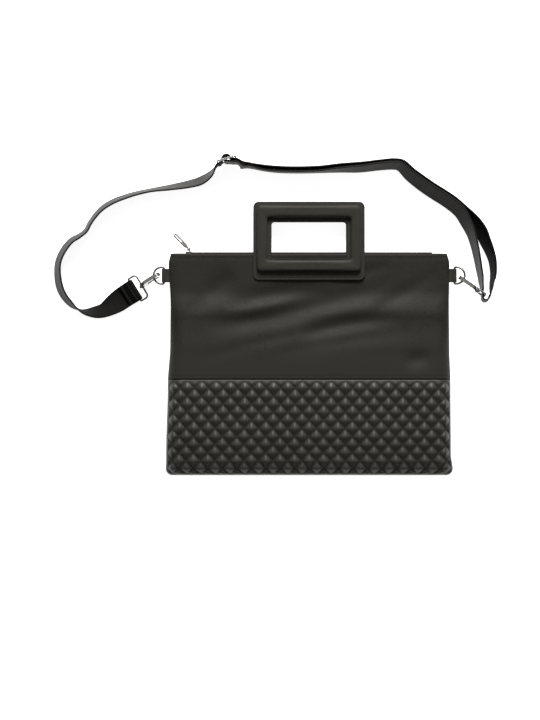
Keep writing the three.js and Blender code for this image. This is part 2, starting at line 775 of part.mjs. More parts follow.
const outerRoute = [
  { x: -0.429, y: 0.893, lean: 99 },
  { x: -0.321, y: 0.908, lean: 101 },
  { x: -0.214, y: 0.897, lean: 100 },
  { x: -0.071, y: 0.889, lean: 95 },
  { x: 0.071, y: 0.892, lean: 90 },
  { x: 0.214, y: 0.905, lean: 82 },
  { x: 0.357, y: 0.912, lean: 78 },
  { x: 0.5, y: 0.931, lean: 78 },
  { x: 0.593, y: 0.939, lean: 77 },
  { x: 0.65, y: 0.928, lean: 75 },
  { x: 0.721, y: 0.851, lean: 70 },
  { x: 0.794, y: 0.784, lean: 67 },
  { x: 0.866, y: 0.725, lean: 66 },
  { x: 1.009, y: 0.617, lean: 66 },
  { x: 1.081, y: 0.545, lean: 66 },
  { x: 1.139, y: 0.485, lean: 66 },
  { x: 1.183, y: 0.434, lean: 67 },
  { x: 1.222, y: 0.367, lean: 67 },
  { x: 1.249, y: 0.292, lean: 70 },
  { x: 1.278, y: 0.214, lean: 75 },
  { x: 1.301, y: 0.13, lean: 79 },
  { x: 1.313, y: 0.03, lean: 83 },
  { x: 1.311, y: -0.07, lean: 86 },
];
const innerRoute = [
  { x: 1.22, y: -0.028, lean: 86 },
  { x: 1.206, y: 0.064, lean: 84 },
  { x: 1.192, y: 0.155, lean: 82 },
  { x: 1.175, y: 0.25, lean: 80 },
  { x: 1.151, y: 0.35, lean: 76 },
  { x: 1.116, y: 0.44, lean: 70 },
];
const joinedStations = 15;

const up = new THREE.Vector3(0, 0, 1);

// Turns rows of a route into places of the strap's middle and directions of its width.
function routeStations(rows) {
  const flat = rows.map((row) => new THREE.Vector3(
    row.x * halfWidth, ringLevel + row.y * strapReach, 0));
  return rows.map((row, i) => {
    const before = flat[Math.max(i - 1, 0)];
    const after = flat[Math.min(i + 1, rows.length - 1)];
    const along = after.clone().sub(before).normalize();
    const outward = up.clone().cross(along);
    const lean = radians(row.lean);
    const width = outward.multiplyScalar(Math.cos(lean)).addScaledVector(up, Math.sin(lean));
    return { place: flat[i], width };
  });
}

// Rests a station on the ground: the lower edge of its section touches it.
function rested(station) {
  const lift = strapWidth / 2 * Math.abs(station.width.z)
    + strapThickness / 2 * Math.hypot(station.width.x, station.width.y);
  const place = station.place.clone().setZ(lift);
  return { place, width: station.width };
}

// The strap's sewn end round the far bar of the left clip: a tail on top, the fold and the
// lower layer, which lies on the ground. Table: distance behind the bar and turn round it.
function leftEnd(frame) {
  const radius = stripWire + clearance + strapThickness / 2;
  const level = new THREE.Vector3(frame.axis.x, frame.axis.y, 0).normalize();
  const width = frame.long.clone().negate();
  const rest = strapThickness / 2;
  const tailRest = rest + strapThickness + clearance;
  const place = (back, z) => frame.fold.clone().addScaledVector(level, -back).setZ(z);
  const stations = [
    place(foldBack, tailRest),
    place(foldBack * 0.45, tailRest + 0.1),
    place(foldBack * 0.22, frame.fold.z + radius * 0.8),
  ];
  for (const angle of [90, 45, 0, -45, -90]) {
    const turn = radians(angle);
    stations.push(place(-radius * Math.cos(turn), frame.fold.z + radius * Math.sin(turn)));
  }
  stations.push(place(foldBack * 0.3, rest));
  stations.push(place(foldBack * 0.7, rest));
  stations.push(place(foldBack * 1.1, rest));
  return stations.map((centre) => ({ place: centre, width }));
}

// The slide stands on its edge in the strap. Rows give the way along it and how far outward,
// in units of the layer that the strap needs round a bar.
const slideCentre = new THREE.Vector3(
  -0.595 * halfWidth, ringLevel + 0.957 * strapReach, stripRingWide / 2 + slideWire + 0.1);
const slideAlong = new THREE.Vector3(Math.cos(radians(slideAzimuth)), Math.sin(radians(slideAzimuth)), 0);
const slideOutward = up.clone().cross(slideAlong);
const barLayer = slideWire + clearance + strapThickness / 2;
const humpLayer = barLayer + 2 * clearance + strapThickness;

function slideStations(rows) {
  return rows.map(([along, outward]) => ({
    place: slideCentre.clone()
      .addScaledVector(slideAlong, along * slideLength / 2)
      .addScaledVector(slideOutward, outward),
    width: up.clone(),
  }));
}

const overSlide = [
  [-1.42, -barLayer - 1],
  [-1, -barLayer - 0.1],
  [-0.82, -barLayer],
  [-0.66, -barLayer * 0.6],
  [-0.52, barLayer * 0.12],
  [-0.42, barLayer * 0.8],
  [-0.28, humpLayer * 0.77],
  [0, humpLayer * 1.01],
  [0.3, humpLayer * 0.75],
  [0.44, barLayer * 0.69],
  [0.55, -barLayer * 0.08],
  [0.68, -barLayer * 0.73],
  [0.84, -barLayer],
  [1, -barLayer - 0.1],
  [1.45, -barLayer - 2.6],
];
const underSlide = [
  [1.45, -barLayer - 4.6 - strapThickness - strandGap],
  [1, -barLayer - strapThickness - strandGap - 0.4],
  [0.84, -humpLayer - 0.3],
  [0.66, -humpLayer],
  [0.46, -humpLayer * 0.8],
  [0.25, -humpLayer * 0.59],
  [0.1, -barLayer],
];

// The strap's sewn end round the middle bar.
function slideEnd() {
  const turns = [-90, -135, -180, -225, -270].map((angle) => {
    const turn = radians(angle);
    return [barLayer * Math.cos(turn) * 2 / slideLength, barLayer * Math.sin(turn)];
  });
  return [...turns, [0.1, barLayer]];
}

// The bend at the right clip: the strap comes down outside the far bar, turns below it and goes
// up through the ring.
function rightBend(frame) {
  const radius = stripWire + clearance + strapThickness / 2;
  const bendRadius = radius + 1.2;
  const width = frame.long.clone();
  const place = (dx, dy, dz) => frame.fold.clone().add(new THREE.Vector3(dx, dy, dz));
  const stations = [
    place(bendRadius + 2.2, 5, 0.2),
    place(bendRadius + 1.5, 0, 0),
  ];
  for (const angle of [-20, -60, -100, -140, -180]) {
    const turn = radians(angle);
    stations.push(place(0.9 + bendRadius * Math.cos(turn), -3 + bendRadius * Math.sin(turn), 0));
  }
  stations.push(place(-radius - 0.2, 1, 0));
  stations.push(place(-radius, 6, 0));
  return stations.map((centre) => ({ place: centre, width }));
}

// The whole strip's stations, and the two of them where its solids part: before the slide and at
// the bottom of the bend at the right clip.
function strapStations(leftFrame, rightFrame) {
  const tail = leftEnd(leftFrame);
  const loop = routeStations(loopRoute).map(rested);
  const outer = routeStations(outerRoute).map(rested);
  const inward = routeStations([...innerRoute].reverse()).map(rested).reverse();
  const over = slideStations(overSlide);
  const beside = outer.slice(0, joinedStations).map((station, i) => {
    const before = i > 0 ? outer[i - 1].place : over[over.length - 1].place;
    const along = outer[i + 1].place.clone().sub(before).setZ(0).normalize();
    const through = along.cross(station.width).normalize();
    const place = station.place.clone().addScaledVector(through, strapThickness + strandGap);
    return { place, width: station.width };
  }).reverse();
  const bend = rightBend(rightFrame);
  const stations = [
    ...tail,
    ...loop,
    ...over,
    ...outer,
    ...bend,
    ...inward,
    ...beside,
    ...slideStations([...underSlide, ...slideEnd()]),
  ];
  const beforeSlide = tail.length + loop.length;
  const bendBottom = beforeSlide + over.length + outer.length + 4;
  return { stations, beforeSlide, bendBottom };
}

// Sections of the strip along smooth curves through the stations: its middle, its direction and
// the directions of its width and thickness. Marked stations are where a solid ends.
function strapSections({ stations, beforeSlide, bendBottom }) {
  const middle = new THREE.CatmullRomCurve3(stations.map((station) => station.place));
  const edge = new THREE.CatmullRomCurve3(stations.map((station) => station.width));
  const count = stations.length - 1;
  const longest = 11;
  const sections = [];
  const ends = [0];
  stations.forEach((station, i) => {
    if (i === beforeSlide || i === bendBottom || i === count) ends.push(sections.length);
    const span = i < count ? stations[i + 1].place.distanceTo(station.place) : 0;
    const steps = Math.max(1, Math.round(span / longest));
    for (let k = 0; k < (i < count ? steps : 1); k += 1) {
      sections.push({
        place: middle.getPoint((i + k / steps) / count),
        width: edge.getPoint((i + k / steps) / count).normalize(),
      });
    }
  });
  const last = sections.length - 1;
  sections.forEach((section, i) => {
    const after = sections[Math.min(i + 1, last)].place;
    section.along = after.clone().sub(sections[Math.max(i - 1, 0)].place).normalize();
  });
  sections.forEach((section) => {
    section.through = section.along.clone().cross(section.width).normalize();
    section.width = section.through.clone().cross(section.along).normalize();
    const dip = strapWidth / 2 * Math.abs(section.width.z)
      + strapThickness / 2 * Math.abs(section.through.z);
    section.place.z = Math.max(section.place.z, dip);
  });
  return { sections, ends };
}

// One stretch of the strip as a solid. An end that meets the next stretch stops short of it.
function makeStrip(sections, from, to) {
  const positions = [];
  const last = to - from;
  for (let i = 0; i <= last; i += 1) {
    const section = sections[from + i];
    const back = i === last && to < sections.length - 1 ? clearance : 0;
    for (const [w, t] of [[-1, -1], [1, -1], [1, 1], [-1, 1]]) {
      positions.push(...section.place.clone()
        .addScaledVector(section.along, -back)
        .addScaledVector(section.width, w * strapWidth / 2)
        .addScaledVector(section.through, t * strapThickness / 2)
        .toArray());
    }
  }
  const indices = [];
  for (let i = 0; i < last; i += 1) {
    for (let k = 0; k < 4; k += 1) {
      const a = i * 4 + k;
      const b = i * 4 + (k + 1) % 4;
      indices.push(a, b, b + 4, a, b + 4, a + 4);
    }
  }
  const end = last * 4;
  indices.push(0, 2, 1, 0, 3, 2, end, end + 1, end + 2, end, end + 2, end + 3);
  const geometry = new THREE.BufferGeometry();
  geometry.setAttribute('position', new THREE.Float32BufferAttribute(positions, 3));
  geometry.setIndex(indices);
  return geometry;
}

// Assembly
addPiece(bag, 'front_upper_panel', makeUpperPanel(), leather);
addPiece(bag, 'front_quilt_panel', makeQuiltPanel(), leather);
addPiece(bag, 'back_panel', makeBackPanel(), leather);
addPiece(bag, 'zip_tape_front', makeTape(1), webbing);
addPiece(bag, 'zip_tape_back', makeTape(-1), webbing);
addPiece(bag, 'zip_chain', makeChain(), webbing);
addPiece(bag, 'zip_slider', makeSlider(), nickel);
const pull = addPiece(bag, 'zip_pull', makePull(), nickel);
pull.position.copy(pullPin);
pull.rotation.z = radians(pullAzimuth);

const frontBacking = addPiece(bag, 'front_handle_backing', makeBacking(), leather);
frontBacking.position.z = frontTop + clearance;
const frontPad = addPiece(bag, 'front_handle_pad', makePad(), leather);
frontPad.position.z = frontTop + backingThickness + 2 * clearance;
const backTop = seamLevel - mouthRise - clearance;
const backBacking = addPiece(bag, 'back_handle_backing', makeBacking(), leather);
backBacking.position.z = backTop - backingThickness;
const backPad = addPiece(bag, 'back_handle_pad', makePad(), leather);
backPad.position.z = backTop - backingThickness - clearance - padHeight;

const frames = sides.map(clipFrame);
sides.forEach(addSide);
const slide = addPiece(bag, 'strap_slide', makeSlide(), nickel);
slide.quaternion.setFromRotationMatrix(
  new THREE.Matrix4().makeBasis(slideAlong, up, slideAlong.clone().cross(up)));
slide.position.copy(slideCentre);
const strip = strapSections(strapStations(frames[0], frames[1]));
['strap_loop', 'strap_outer', 'strap_inner'].forEach((name, i) => {
  addPiece(bag, name, makeStrip(strip.sections, strip.ends[i], strip.ends[i + 1]), leather);
});

export default bag;
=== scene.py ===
import json
import math

import bpy
import bmesh
import numpy as np
from bpy.props import FloatProperty, FloatVectorProperty, PointerProperty
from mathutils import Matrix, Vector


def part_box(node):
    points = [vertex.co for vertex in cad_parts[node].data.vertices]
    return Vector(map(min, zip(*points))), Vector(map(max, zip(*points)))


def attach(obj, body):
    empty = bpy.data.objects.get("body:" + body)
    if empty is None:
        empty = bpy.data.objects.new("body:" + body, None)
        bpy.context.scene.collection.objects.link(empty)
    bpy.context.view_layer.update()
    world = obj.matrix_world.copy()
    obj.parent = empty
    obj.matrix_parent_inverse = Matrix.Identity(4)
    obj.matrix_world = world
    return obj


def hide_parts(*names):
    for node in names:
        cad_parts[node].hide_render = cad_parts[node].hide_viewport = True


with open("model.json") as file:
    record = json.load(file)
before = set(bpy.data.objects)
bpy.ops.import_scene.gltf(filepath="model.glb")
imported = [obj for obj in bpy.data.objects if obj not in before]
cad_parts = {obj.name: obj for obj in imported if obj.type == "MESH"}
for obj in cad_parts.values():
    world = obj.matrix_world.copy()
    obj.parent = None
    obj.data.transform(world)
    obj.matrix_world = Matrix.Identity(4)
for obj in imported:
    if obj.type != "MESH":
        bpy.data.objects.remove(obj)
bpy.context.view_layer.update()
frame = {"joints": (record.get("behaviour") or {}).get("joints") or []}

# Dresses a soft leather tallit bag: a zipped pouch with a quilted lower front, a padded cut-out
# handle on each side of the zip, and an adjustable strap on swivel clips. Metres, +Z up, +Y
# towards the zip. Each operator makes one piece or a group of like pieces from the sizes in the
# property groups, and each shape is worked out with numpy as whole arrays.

bl_info = {
    "name": "Tallit Bag",
    "version": (1, 0, 0),
    "blender": (4, 5, 0),
    "location": "3D View > Sidebar > Tallit Bag",
    "description": "Makes the leather, stitching, zip and metal of a tallit bag on its packed solids",
    "category": "Add Mesh",
}

TURN = 2 * math.pi
Y_AXIS = np.array([0.0, 1.0, 0.0])
UP = np.array([0.0, 0.0, 1.0])
# Room between metal pieces that touch, in metres
CLEAR = 0.0003
# Angles read from the photograph, in degrees
PULL_AZIMUTH = 134.4
PULL_ROLL = 42
RING_TILT = 20
SLIDE_AZIMUTH = 15.6


def low(node):
    """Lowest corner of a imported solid."""
    return np.array(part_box(node)[0])


def high(node):
    """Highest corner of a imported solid."""
    return np.array(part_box(node)[1])


def joint(name):
    """A joint of the frame by its name."""
    return next(j for j in frame["joints"] if j["name"] == name)


def length(name, description, default):
    """A length property in metres."""
    return FloatProperty(name=name, description=description, default=default, min=0.0,
                         subtype="DISTANCE", unit="LENGTH", precision=4)


def place(name, description, default):
    """A coordinate property in metres, which may be negative."""
    return FloatProperty(name=name, description=description, default=default,
                         subtype="DISTANCE", unit="LENGTH", precision=4)


def colour(name, description, default):
    """A colour property, given as linear red, green and blue."""
    return FloatVectorProperty(name=name, description=description, default=default, size=3,
                               min=0.0, max=1.0, subtype="COLOR")


SEAM_LEVEL = (low("front_upper_panel")[2] + high("back_panel")[2]) / 2


class PouchSizes(bpy.types.PropertyGroup):
    """Sizes of the pouch and its zip."""
    width: length("Width", "Pouch width between its side seams", 0.350)
    height: length("Height", "Pouch height from its bottom seam to the zip", 0.2784)
    seam_level: place("Seam level", "Height of the side seams over the ground", SEAM_LEVEL)
    wall: length("Wall", "Leather thickness of the panels", 0.0016)
    gap: length("Gap", "Room between sewn pieces", 0.0003)
    side_roll: length("Side roll", "Radius of the panels beside the side seams", 0.018)
    bottom_roll: length("Bottom roll", "Radius of the panels over the bottom seam", 0.020)
    corner: length("Corner radius", "Round of the two bottom corners", 0.008)
    zip_stand: length("Zip stand-off", "Zip above the panels' upper edge", 0.0016)
    mouth: length("Mouth rise", "Half the pouch's depth at its mouth", 0.0046)
    lift: length("Front lift", "Sag of the front away from the mouth", 0.012)
    band_line: place("Band line", "Seam between the plain and the quilted leather",
                     (low("front_upper_panel")[1] + high("front_quilt_panel")[1]) / 2)
    pitch_x: length("Quilt half pitch across", "Half a diamond's width", 0.0088)
    pitch_y: length("Quilt half pitch down", "Half a diamond's height", 0.0098)
    puff: length("Quilt puff", "Height of a diamond over its creases", 0.0034)
    stitch: length("Stitch length", "Length of one visible stitch", 0.0022)
    stitch_pitch: length("Stitch pitch", "Distance from stitch to stitch", 0.0031)
    thread: length("Thread radius", "Half the thickness of the sewing thread", 0.00026)
    tooth_pitch: length("Tooth pitch", "Distance between the zip's teeth", 0.0016)


class HandleSizes(bpy.types.PropertyGroup):
    """Sizes of the two padded handles."""
    corner: length("Corner radius", "Outer corners of the handle", 0.007)
    border: length("Inner border", "Flange inside the pad's hole, at its sides", 0.005)
    top_border: length("Top border", "Flange inside the pad's hole, at its top", 0.004)
    bottom_border: length("Bottom border", "Flange cut back below the pad's hole", 0.0003)
    bar: length("Side bar", "Width of the pad's side bars", 0.0137)
    top_bar: length("Top bar", "Width of the pad's top bar", 0.0165)
    bottom_bar: length("Bottom bar", "Width of the pad's bottom bar", 0.0154)
    inner_corner: length("Window corner", "Corners of the window", 0.0035)
    swell: length("Swell", "Most that the stuffed pad swells", 0.0016)
    pressure: FloatProperty(name="Pressure", description="Pressure that fills the pad",
                            default=4.0, min=0.0)


class HardwareSizes(bpy.types.PropertyGroup):
    """Sizes of the rings, clips, tabs and slide."""
    ring_wire: length("Ring wire", "Radius of the D-rings' wire", 0.0014)
    ring_tall: length("Ring height", "Height of a D-ring between wire middles", 0.0207)
    ring_deep: length("Ring depth", "Depth of a D-ring between wire middles", 0.0132)
    loop_wire: length("Loop wire", "Radius of the strap loops' and the slide's wire", 0.0012)
    loop_deep: length("Loop depth", "Depth of a strap loop", 0.0115)
    loop_wide: length("Loop width", "Width of a strap loop between wire middles", 0.0318)
    collar: length("Collar radius", "Radius of the swivel's collar", 0.0034)
    collar_long: length("Collar length", "Length of the swivel's collar", 0.0042)
    hook_long: length("Hook length", "Hook from the collar's middle to its nose", 0.028)
    hook_half: length("Hook half width", "Half the width over the hook's nose", 0.0072)
    hook_bar: length("Hook bar", "Width of the hook's bar", 0.003)
    hook_thick: length("Hook thickness", "Thickness of the hook", 0.0046)
    gate_thick: length("Gate thickness", "Thickness of the hook's gate", 0.0026)
    tab_wide: length("Tab width", "Width of the leather tabs", 0.017)
    tab_reach: length("Tab reach", "Tab from the seam to the ring's bar", 0.0056)
    tab_leather: length("Tab leather", "Thickness of one layer of the tab", 0.0013)
    slide_long: length("Slide length", "Length of the slide along the strap", 0.024)


class StrapSizes(bpy.types.PropertyGroup):
    """Sizes of the shoulder strap."""
    width: length("Width", "Width of the strap", 0.028)
    thickness: length("Thickness", "Thickness of the strap", 0.0022)
    reach: length("Reach", "How far the laid strap reaches above the rings", 0.150)
    strand_gap: length("Strand gap", "Room between two strands side by side", 0.0011)
    fold_back: length("Fold back", "Length of the sewn end", 0.022)


class Finishes(bpy.types.PropertyGroup):
    """Colours of the leather, thread, metal and surroundings."""
    leather: colour("Leather", "Plain leather of the pouch", (0.0235, 0.0212, 0.0170))
    # Dark leather is also the painted shade in the quilting's creases and on the plain leather's bulge
    leather_dark: colour("Dark leather", "Leather in its pores and creases", (0.0060, 0.0052, 0.0041))
    strap_face: colour("Strap face", "Grey face of the strap", (0.0215, 0.0205, 0.0180))
    strap_back: colour("Strap back", "Black ribbed back of the strap", (0.0058, 0.0052, 0.0045))
    thread: colour("Thread", "Sewing thread", (0.050, 0.046, 0.039))
    tape: colour("Zip tape", "Woven tape of the zip", (0.0035, 0.0032, 0.0028))
    nickel: colour("Nickel", "Bright metal of the hooks, slide and slider", (0.50, 0.47, 0.425))
    gunmetal: colour("Gunmetal", "Dark metal of the rings", (0.17, 0.16, 0.15))
    floor: colour("Floor", "Pale surface under the bag", (0.93, 0.93, 0.93))
    glow: FloatProperty(name="Floor glow", description="Light that the floor gives by itself",
                        default=0.85, min=0.0)
    sky: FloatProperty(name="Sky", description="Strength of the light from all round",
                       default=0.24, min=0.0)
    key: FloatProperty(name="Key light", description="Power of the large lamp, in watts",
                       default=78.0, min=0.0, unit="POWER")


class Socket:
    """A shader socket that takes part in plain arithmetic, each step a Math node."""

    def __init__(self, shader, link):
        self.shader = shader
        self.link = link

    def math(self, operation, first, second=0.0):
        """The result of a Math node on two values."""
        return self.shader.node("ShaderNodeMath", {"operation": operation}, {0: first, 1: second})

    def __add__(self, other):
        return self.math("ADD", self, other)

    def __radd__(self, other):
        return self.math("ADD", other, self)

    def __sub__(self, other):
        return self.math("SUBTRACT", self, other)

    def __rsub__(self, other):
        return self.math("SUBTRACT", other, self)

    def __mul__(self, other):
        return self.math("MULTIPLY", self, other)

    def __rmul__(self, other):
        return self.math("MULTIPLY", other, self)

    def __truediv__(self, other):
        return self.math("DIVIDE", self, other)

    def clamped(self):
        """The value held between 0 and 1."""
        return self.shader.node("ShaderNodeClamp", {}, {"Value": self})

    def sine(self):
        """The sine of the value."""
        return self.math("SINE", self)


class Shader:
    """A material's node tree, with a surface shader and a way to add any node."""

    def __init__(self, name):
        self.material = bpy.data.materials.new(name)
        self.material.use_nodes = True
        self.tree = self.material.node_tree
        self.tree.nodes.clear()
        output = self.tree.nodes.new("ShaderNodeOutputMaterial")
        self.surface = self.tree.nodes.new("ShaderNodeBsdfPrincipled")
        self.tree.links.new(self.surface.outputs[0], output.inputs["Surface"])

    def node(self, kind, settings, inputs, output=0):
        """Adds a node: its settings first, then values or links for its sockets."""
        made = self.tree.nodes.new(kind)
        for key, value in settings.items():
            setattr(made, key, value)
        for key, value in inputs.items():
            self.feed(made.inputs[key], value)
        return Socket(self, made.outputs[output])

    def feed(self, socket, value):
        """Links a shader socket to an input, or sets the input to a number or colour."""
        if isinstance(value, Socket):
            self.tree.links.new(value.link, socket)
        elif socket.type == "RGBA":
            socket.default_value = (*value[:3], 1.0)
        else:
            socket.default_value = value

    def set(self, **sockets):
        """Feeds the surface shader. A double underscore stands for a space."""
        for key, value in sockets.items():
            self.feed(self.surface.inputs[key.replace("__", " ")], value)

    def spot(self):
        """Place on the piece, in metres."""
        return self.node("ShaderNodeTexCoord", {}, {}, "Object")

    def uv(self, name):
        """Place on the piece's own map, along and across it."""
        return self.node("ShaderNodeUVMap", {"uv_map": name}, {})

    def split(self, vector):
        """The three parts of a vector."""
        return [self.node("ShaderNodeSeparateXYZ", {}, {0: vector}, axis) for axis in "XYZ"]

    def noise(self, vector, size, detail=3.0, roughness=0.5):
        """Soft noise whose blobs are about size across."""
        return self.node("ShaderNodeTexNoise", {}, {
            "Vector": vector, "Scale": 1 / size, "Detail": detail, "Roughness": roughness})

    def pebbles(self, vector, size):
        """Distance from the middles of soft cells about size across."""
        return self.node("ShaderNodeTexVoronoi", {"feature": "SMOOTH_F1"},
                         {"Vector": vector, "Scale": 1 / size}, "Distance")

    def stored(self, name):
        """A value stored on the piece's points."""
        return self.node("ShaderNodeAttribute", {"attribute_name": name}, {}, "Fac")

    def mix(self, share, first, second):
        """Mixes two colours by a share."""
        return self.node("ShaderNodeMix", {"data_type": "RGBA"}, {0: share, 6: first, 7: second}, 2)

    def bump(self, height, distance, strength):
        """A bumped normal from a height between 0 and 1, worth so much distance."""
        return self.node("ShaderNodeBump", {}, {
            "Height": height, "Distance": distance, "Strength": strength})


def leather_grain(shader, spot, size):
    """Height of pebbled grain: cells with soft tops, broken up by finer and wider noise."""
    warp = shader.node("ShaderNodeVectorMath", {"operation": "MULTIPLY_ADD"}, {
        0: shader.node("ShaderNodeTexNoise", {}, {"Vector": spot, "Scale": 0.7 / size}, "Color"),
        1: (size * 0.8, size * 0.8, size * 0.8), 2: spot})
    pebbles = shader.pebbles(warp, size)
    fine = shader.noise(warp, size * 0.45, 2.0)
    creases = shader.noise(spot, size * 6, 3.0, 0.6)
    return 1 - pebbles * 0.9 + fine * 0.25 + creases * 0.5


# Heights on the pouch: where the plain leather bulges most towards the lamp and is given
# painted shade, how far that reaches, and where the fade down the leather is nothing
BULGE_MIDDLE = 0.048
BULGE_REACH = 1 / 30
FADE_MIDDLE = 0.055


def make_leather(name, base, dark, size, relief, gloss, puffs=False, fade=0.0, shade=0.0):
    """Semi-matt leather: pebbled grain, cloudy tone, darker pores, a little gloss on the tops.
    Quilted leather is also painted darker in its creases, as painted shade, where the height
    stored as puff is low. Fade lightens the leather from the zip down to the band, by so much a
    metre, and shade paints it darker where it bulges towards the lamp, as painted shade, by one
    less the square of the way from the bulge's middle."""
    shader = Shader(name)
    spot = shader.spot()
    grain = leather_grain(shader, spot, size)
    cloud = shader.noise(spot, 0.060, 4.0, 0.55)
    worn = shader.noise(spot, 0.009, 3.0, 0.6)
    tone = ((grain - 0.55) * 1.1 + (cloud - 0.5) * 0.9 + (worn - 0.5) * 0.35 + 0.55).clamped()
    _, y, _ = shader.split(spot)
    # Painted shade: the plain leather is painted darker where it bulges towards the lamp, most at the
    # bulge's middle
    off = (y - BULGE_MIDDLE) / BULGE_REACH
    bulge = (1 - off * off).clamped()
    tone = (tone + (FADE_MIDDLE - y) * fade - bulge * shade).clamped()
    # Painted shade: the quilting's creases, where the stored puff height is low, are painted darker
    if puffs:
        tone = tone * (0.25 + 0.75 * (shader.stored("puff") * 2.2).clamped())
    shader.set(
        Base__Color=shader.mix(tone, dark, base),
        Roughness=gloss + 0.16 * worn - 0.10 * (grain - 0.5),
        Normal=shader.bump(grain, relief, 0.8),
        Specular__IOR__Level=0.30 if puffs else 0.12)
    return shader.material


def make_strap_leather(name, colours):
    """Smooth grey leather on the face, black cross ribs on the back."""
    shader = Shader(name)
    spot = shader.spot()
    along, across, _ = shader.split(shader.uv("strap"))
    side = shader.stored("side")
    grain = leather_grain(shader, spot, 0.0009)
    ribs = (along * (TURN / 0.0021)).sine() * 0.5 + 0.5
    threads = (across * (TURN / 0.0013)).sine() * 0.5 + 0.5
    weave = ribs * 0.75 + threads * 0.25
    cloud = shader.noise(spot, 0.030, 4.0, 0.6)
    face = shader.mix((grain * 0.7 + cloud * 0.5 - 0.1).clamped(), colours.leather_dark,
                      colours.strap_face)
    back = shader.mix((weave * 0.8 + cloud * 0.2).clamped(), (0.002, 0.002, 0.002),
                      colours.strap_back)
    height = grain * (1 - side) + weave * side * 1.6
    shader.set(
        Base__Color=shader.mix(side, face, back),
        Roughness=0.44 + 0.26 * side + 0.12 * (cloud - 0.5),
        Normal=shader.bump(height, 0.00014, 0.8),
        Specular__IOR__Level=0.05)
    return shader.material


def make_thread(name, base):
    """Twisted sewing thread."""
    shader = Shader(name)
    spot = shader.spot()
    x, y, _ = shader.split(spot)
    twist = ((x + y) * (TURN / 0.0007)).sine() * 0.5 + 0.5
    fuzz = shader.noise(spot, 0.0006, 2.0)
    shader.set(
        Base__Color=shader.mix((twist * 0.6 + fuzz * 0.5).clamped(), (0.008, 0.007, 0.006), base),
        Roughness=0.62,
        Normal=shader.bump(twist, 0.00012, 0.7))
    return shader.material


def make_tape(name, base):
    """Woven polyester tape: a fine twill."""
    shader = Shader(name)
    spot = shader.spot()
    x, y, z = shader.split(spot)
    warp = (x * (TURN / 0.0008)).sine() * 0.5 + 0.5
    weft = ((y + z + x * 0.5) * (TURN / 0.0007)).sine() * 0.5 + 0.5
    weave = warp * 0.5 + weft * 0.5
    shader.set(
        Base__Color=shader.mix(weave, (0.004, 0.0038, 0.0034), base),
        Roughness=0.9,
        Normal=shader.bump(weave, 0.00010, 0.8),
        Specular__IOR__Level=0.04)
    return shader.material


def make_metal(name, base, gloss, stain):
    """Plated metal: polished with fine scratches and a faint cloudy stain."""
    shader = Shader(name)
    spot = shader.spot()
    cloud = shader.noise(spot, 0.006, 4.0, 0.6)
    brushed = shader.node("ShaderNodeMapping", {}, {"Vector": spot, "Scale": (1.0, 5.0, 1.0)})
    scratch = shader.noise(brushed, 0.0012, 3.0, 0.7)
    darker = tuple(stain * part for part in base)
    shader.set(
        Base__Color=shader.mix((cloud * 1.3 - 0.1).clamped(), darker, tuple(base)),
        Metallic=1.0,
        Roughness=gloss + 0.12 * scratch + 0.06 * cloud,
        Normal=shader.bump(scratch, 0.00002, 0.5))
    return shader.material


def finish_material(name):
    """The finished material of that name, made when it is first asked for."""
    if name in bpy.data.materials:
        return bpy.data.materials[name]
    colours = bpy.context.scene.tallit_finishes
    makers = {
        # The soft leather gets painted shade on its bulge towards the lamp
        "soft leather": lambda: make_leather(
            "soft leather", colours.leather, colours.leather_dark, 0.0011, 0.00016, 0.54, fade=3.0,
            shade=0.4),
        # The quilted and the handle leather are the one plain leather painted lighter, 1.45 and 1.2
        # times, as painted light
        "quilted leather": lambda: make_leather(
            "quilted leather", colours.leather * 1.45, colours.leather_dark, 0.0010, 0.00014, 0.44,
            True),
        "handle leather": lambda: make_leather(
            "handle leather", colours.leather * 1.2, colours.leather_dark, 0.0009, 0.00013, 0.50),
        "strap leather": lambda: make_strap_leather("strap leather", colours),
        "thread": lambda: make_thread("thread", colours.thread),
        "zip tape": lambda: make_tape("zip tape", colours.tape),
        "nickel": lambda: make_metal("nickel", colours.nickel, 0.24, 0.5),
        # Nickel painted darker for the pull and the gates: painted shade in place of their dimmer
        # reflections
        "dull nickel": lambda: make_metal("dull nickel", colours.nickel * 0.5, 0.3, 0.55),
        "gunmetal": lambda: make_metal("gunmetal", colours.gunmetal, 0.24, 0.6),
    }
    return makers[name]()


def unit(vectors):
    """Vectors scaled to length one."""
    return vectors / np.linalg.norm(vectors, axis=-1, keepdims=True)


def smooth_step(share):
    """A share eased in and out: three times its square less twice its cube."""
    share = np.clip(share, 0.0, 1.0)
    return share * share * (3 - 2 * share)


def eased(rows, spot, column):
    """Value of a table's column at each place y, with a smooth step between its rows."""
    ordered = sorted(rows, key=lambda row: row["y"])
    levels = np.array([row["y"] for row in ordered])
    values = np.array([row[column] for row in ordered])
    index = np.clip(np.searchsorted(levels, spot, side="right") - 1, 0, len(levels) - 2)
    share = smooth_step((spot - levels[index]) / (levels[index + 1] - levels[index]))
    return values[index] + (values[index + 1] - values[index]) * share


def grid_faces(rows, columns, wrap_rows=False, wrap_columns=False):
    """Quads of a grid of points counted row by row, joined up where a direction closes."""
    i, j = np.meshgrid(np.arange(rows - (not wrap_rows)), np.arange(columns - (not wrap_columns)),
                       indexing="ij")
    below, beside = (i + 1) % rows, (j + 1) % columns
    quads = np.stack([i * columns + j, below * columns + j,
                      below * columns + beside, i * columns + beside], axis=-1)
    return quads.reshape(-1, 4)


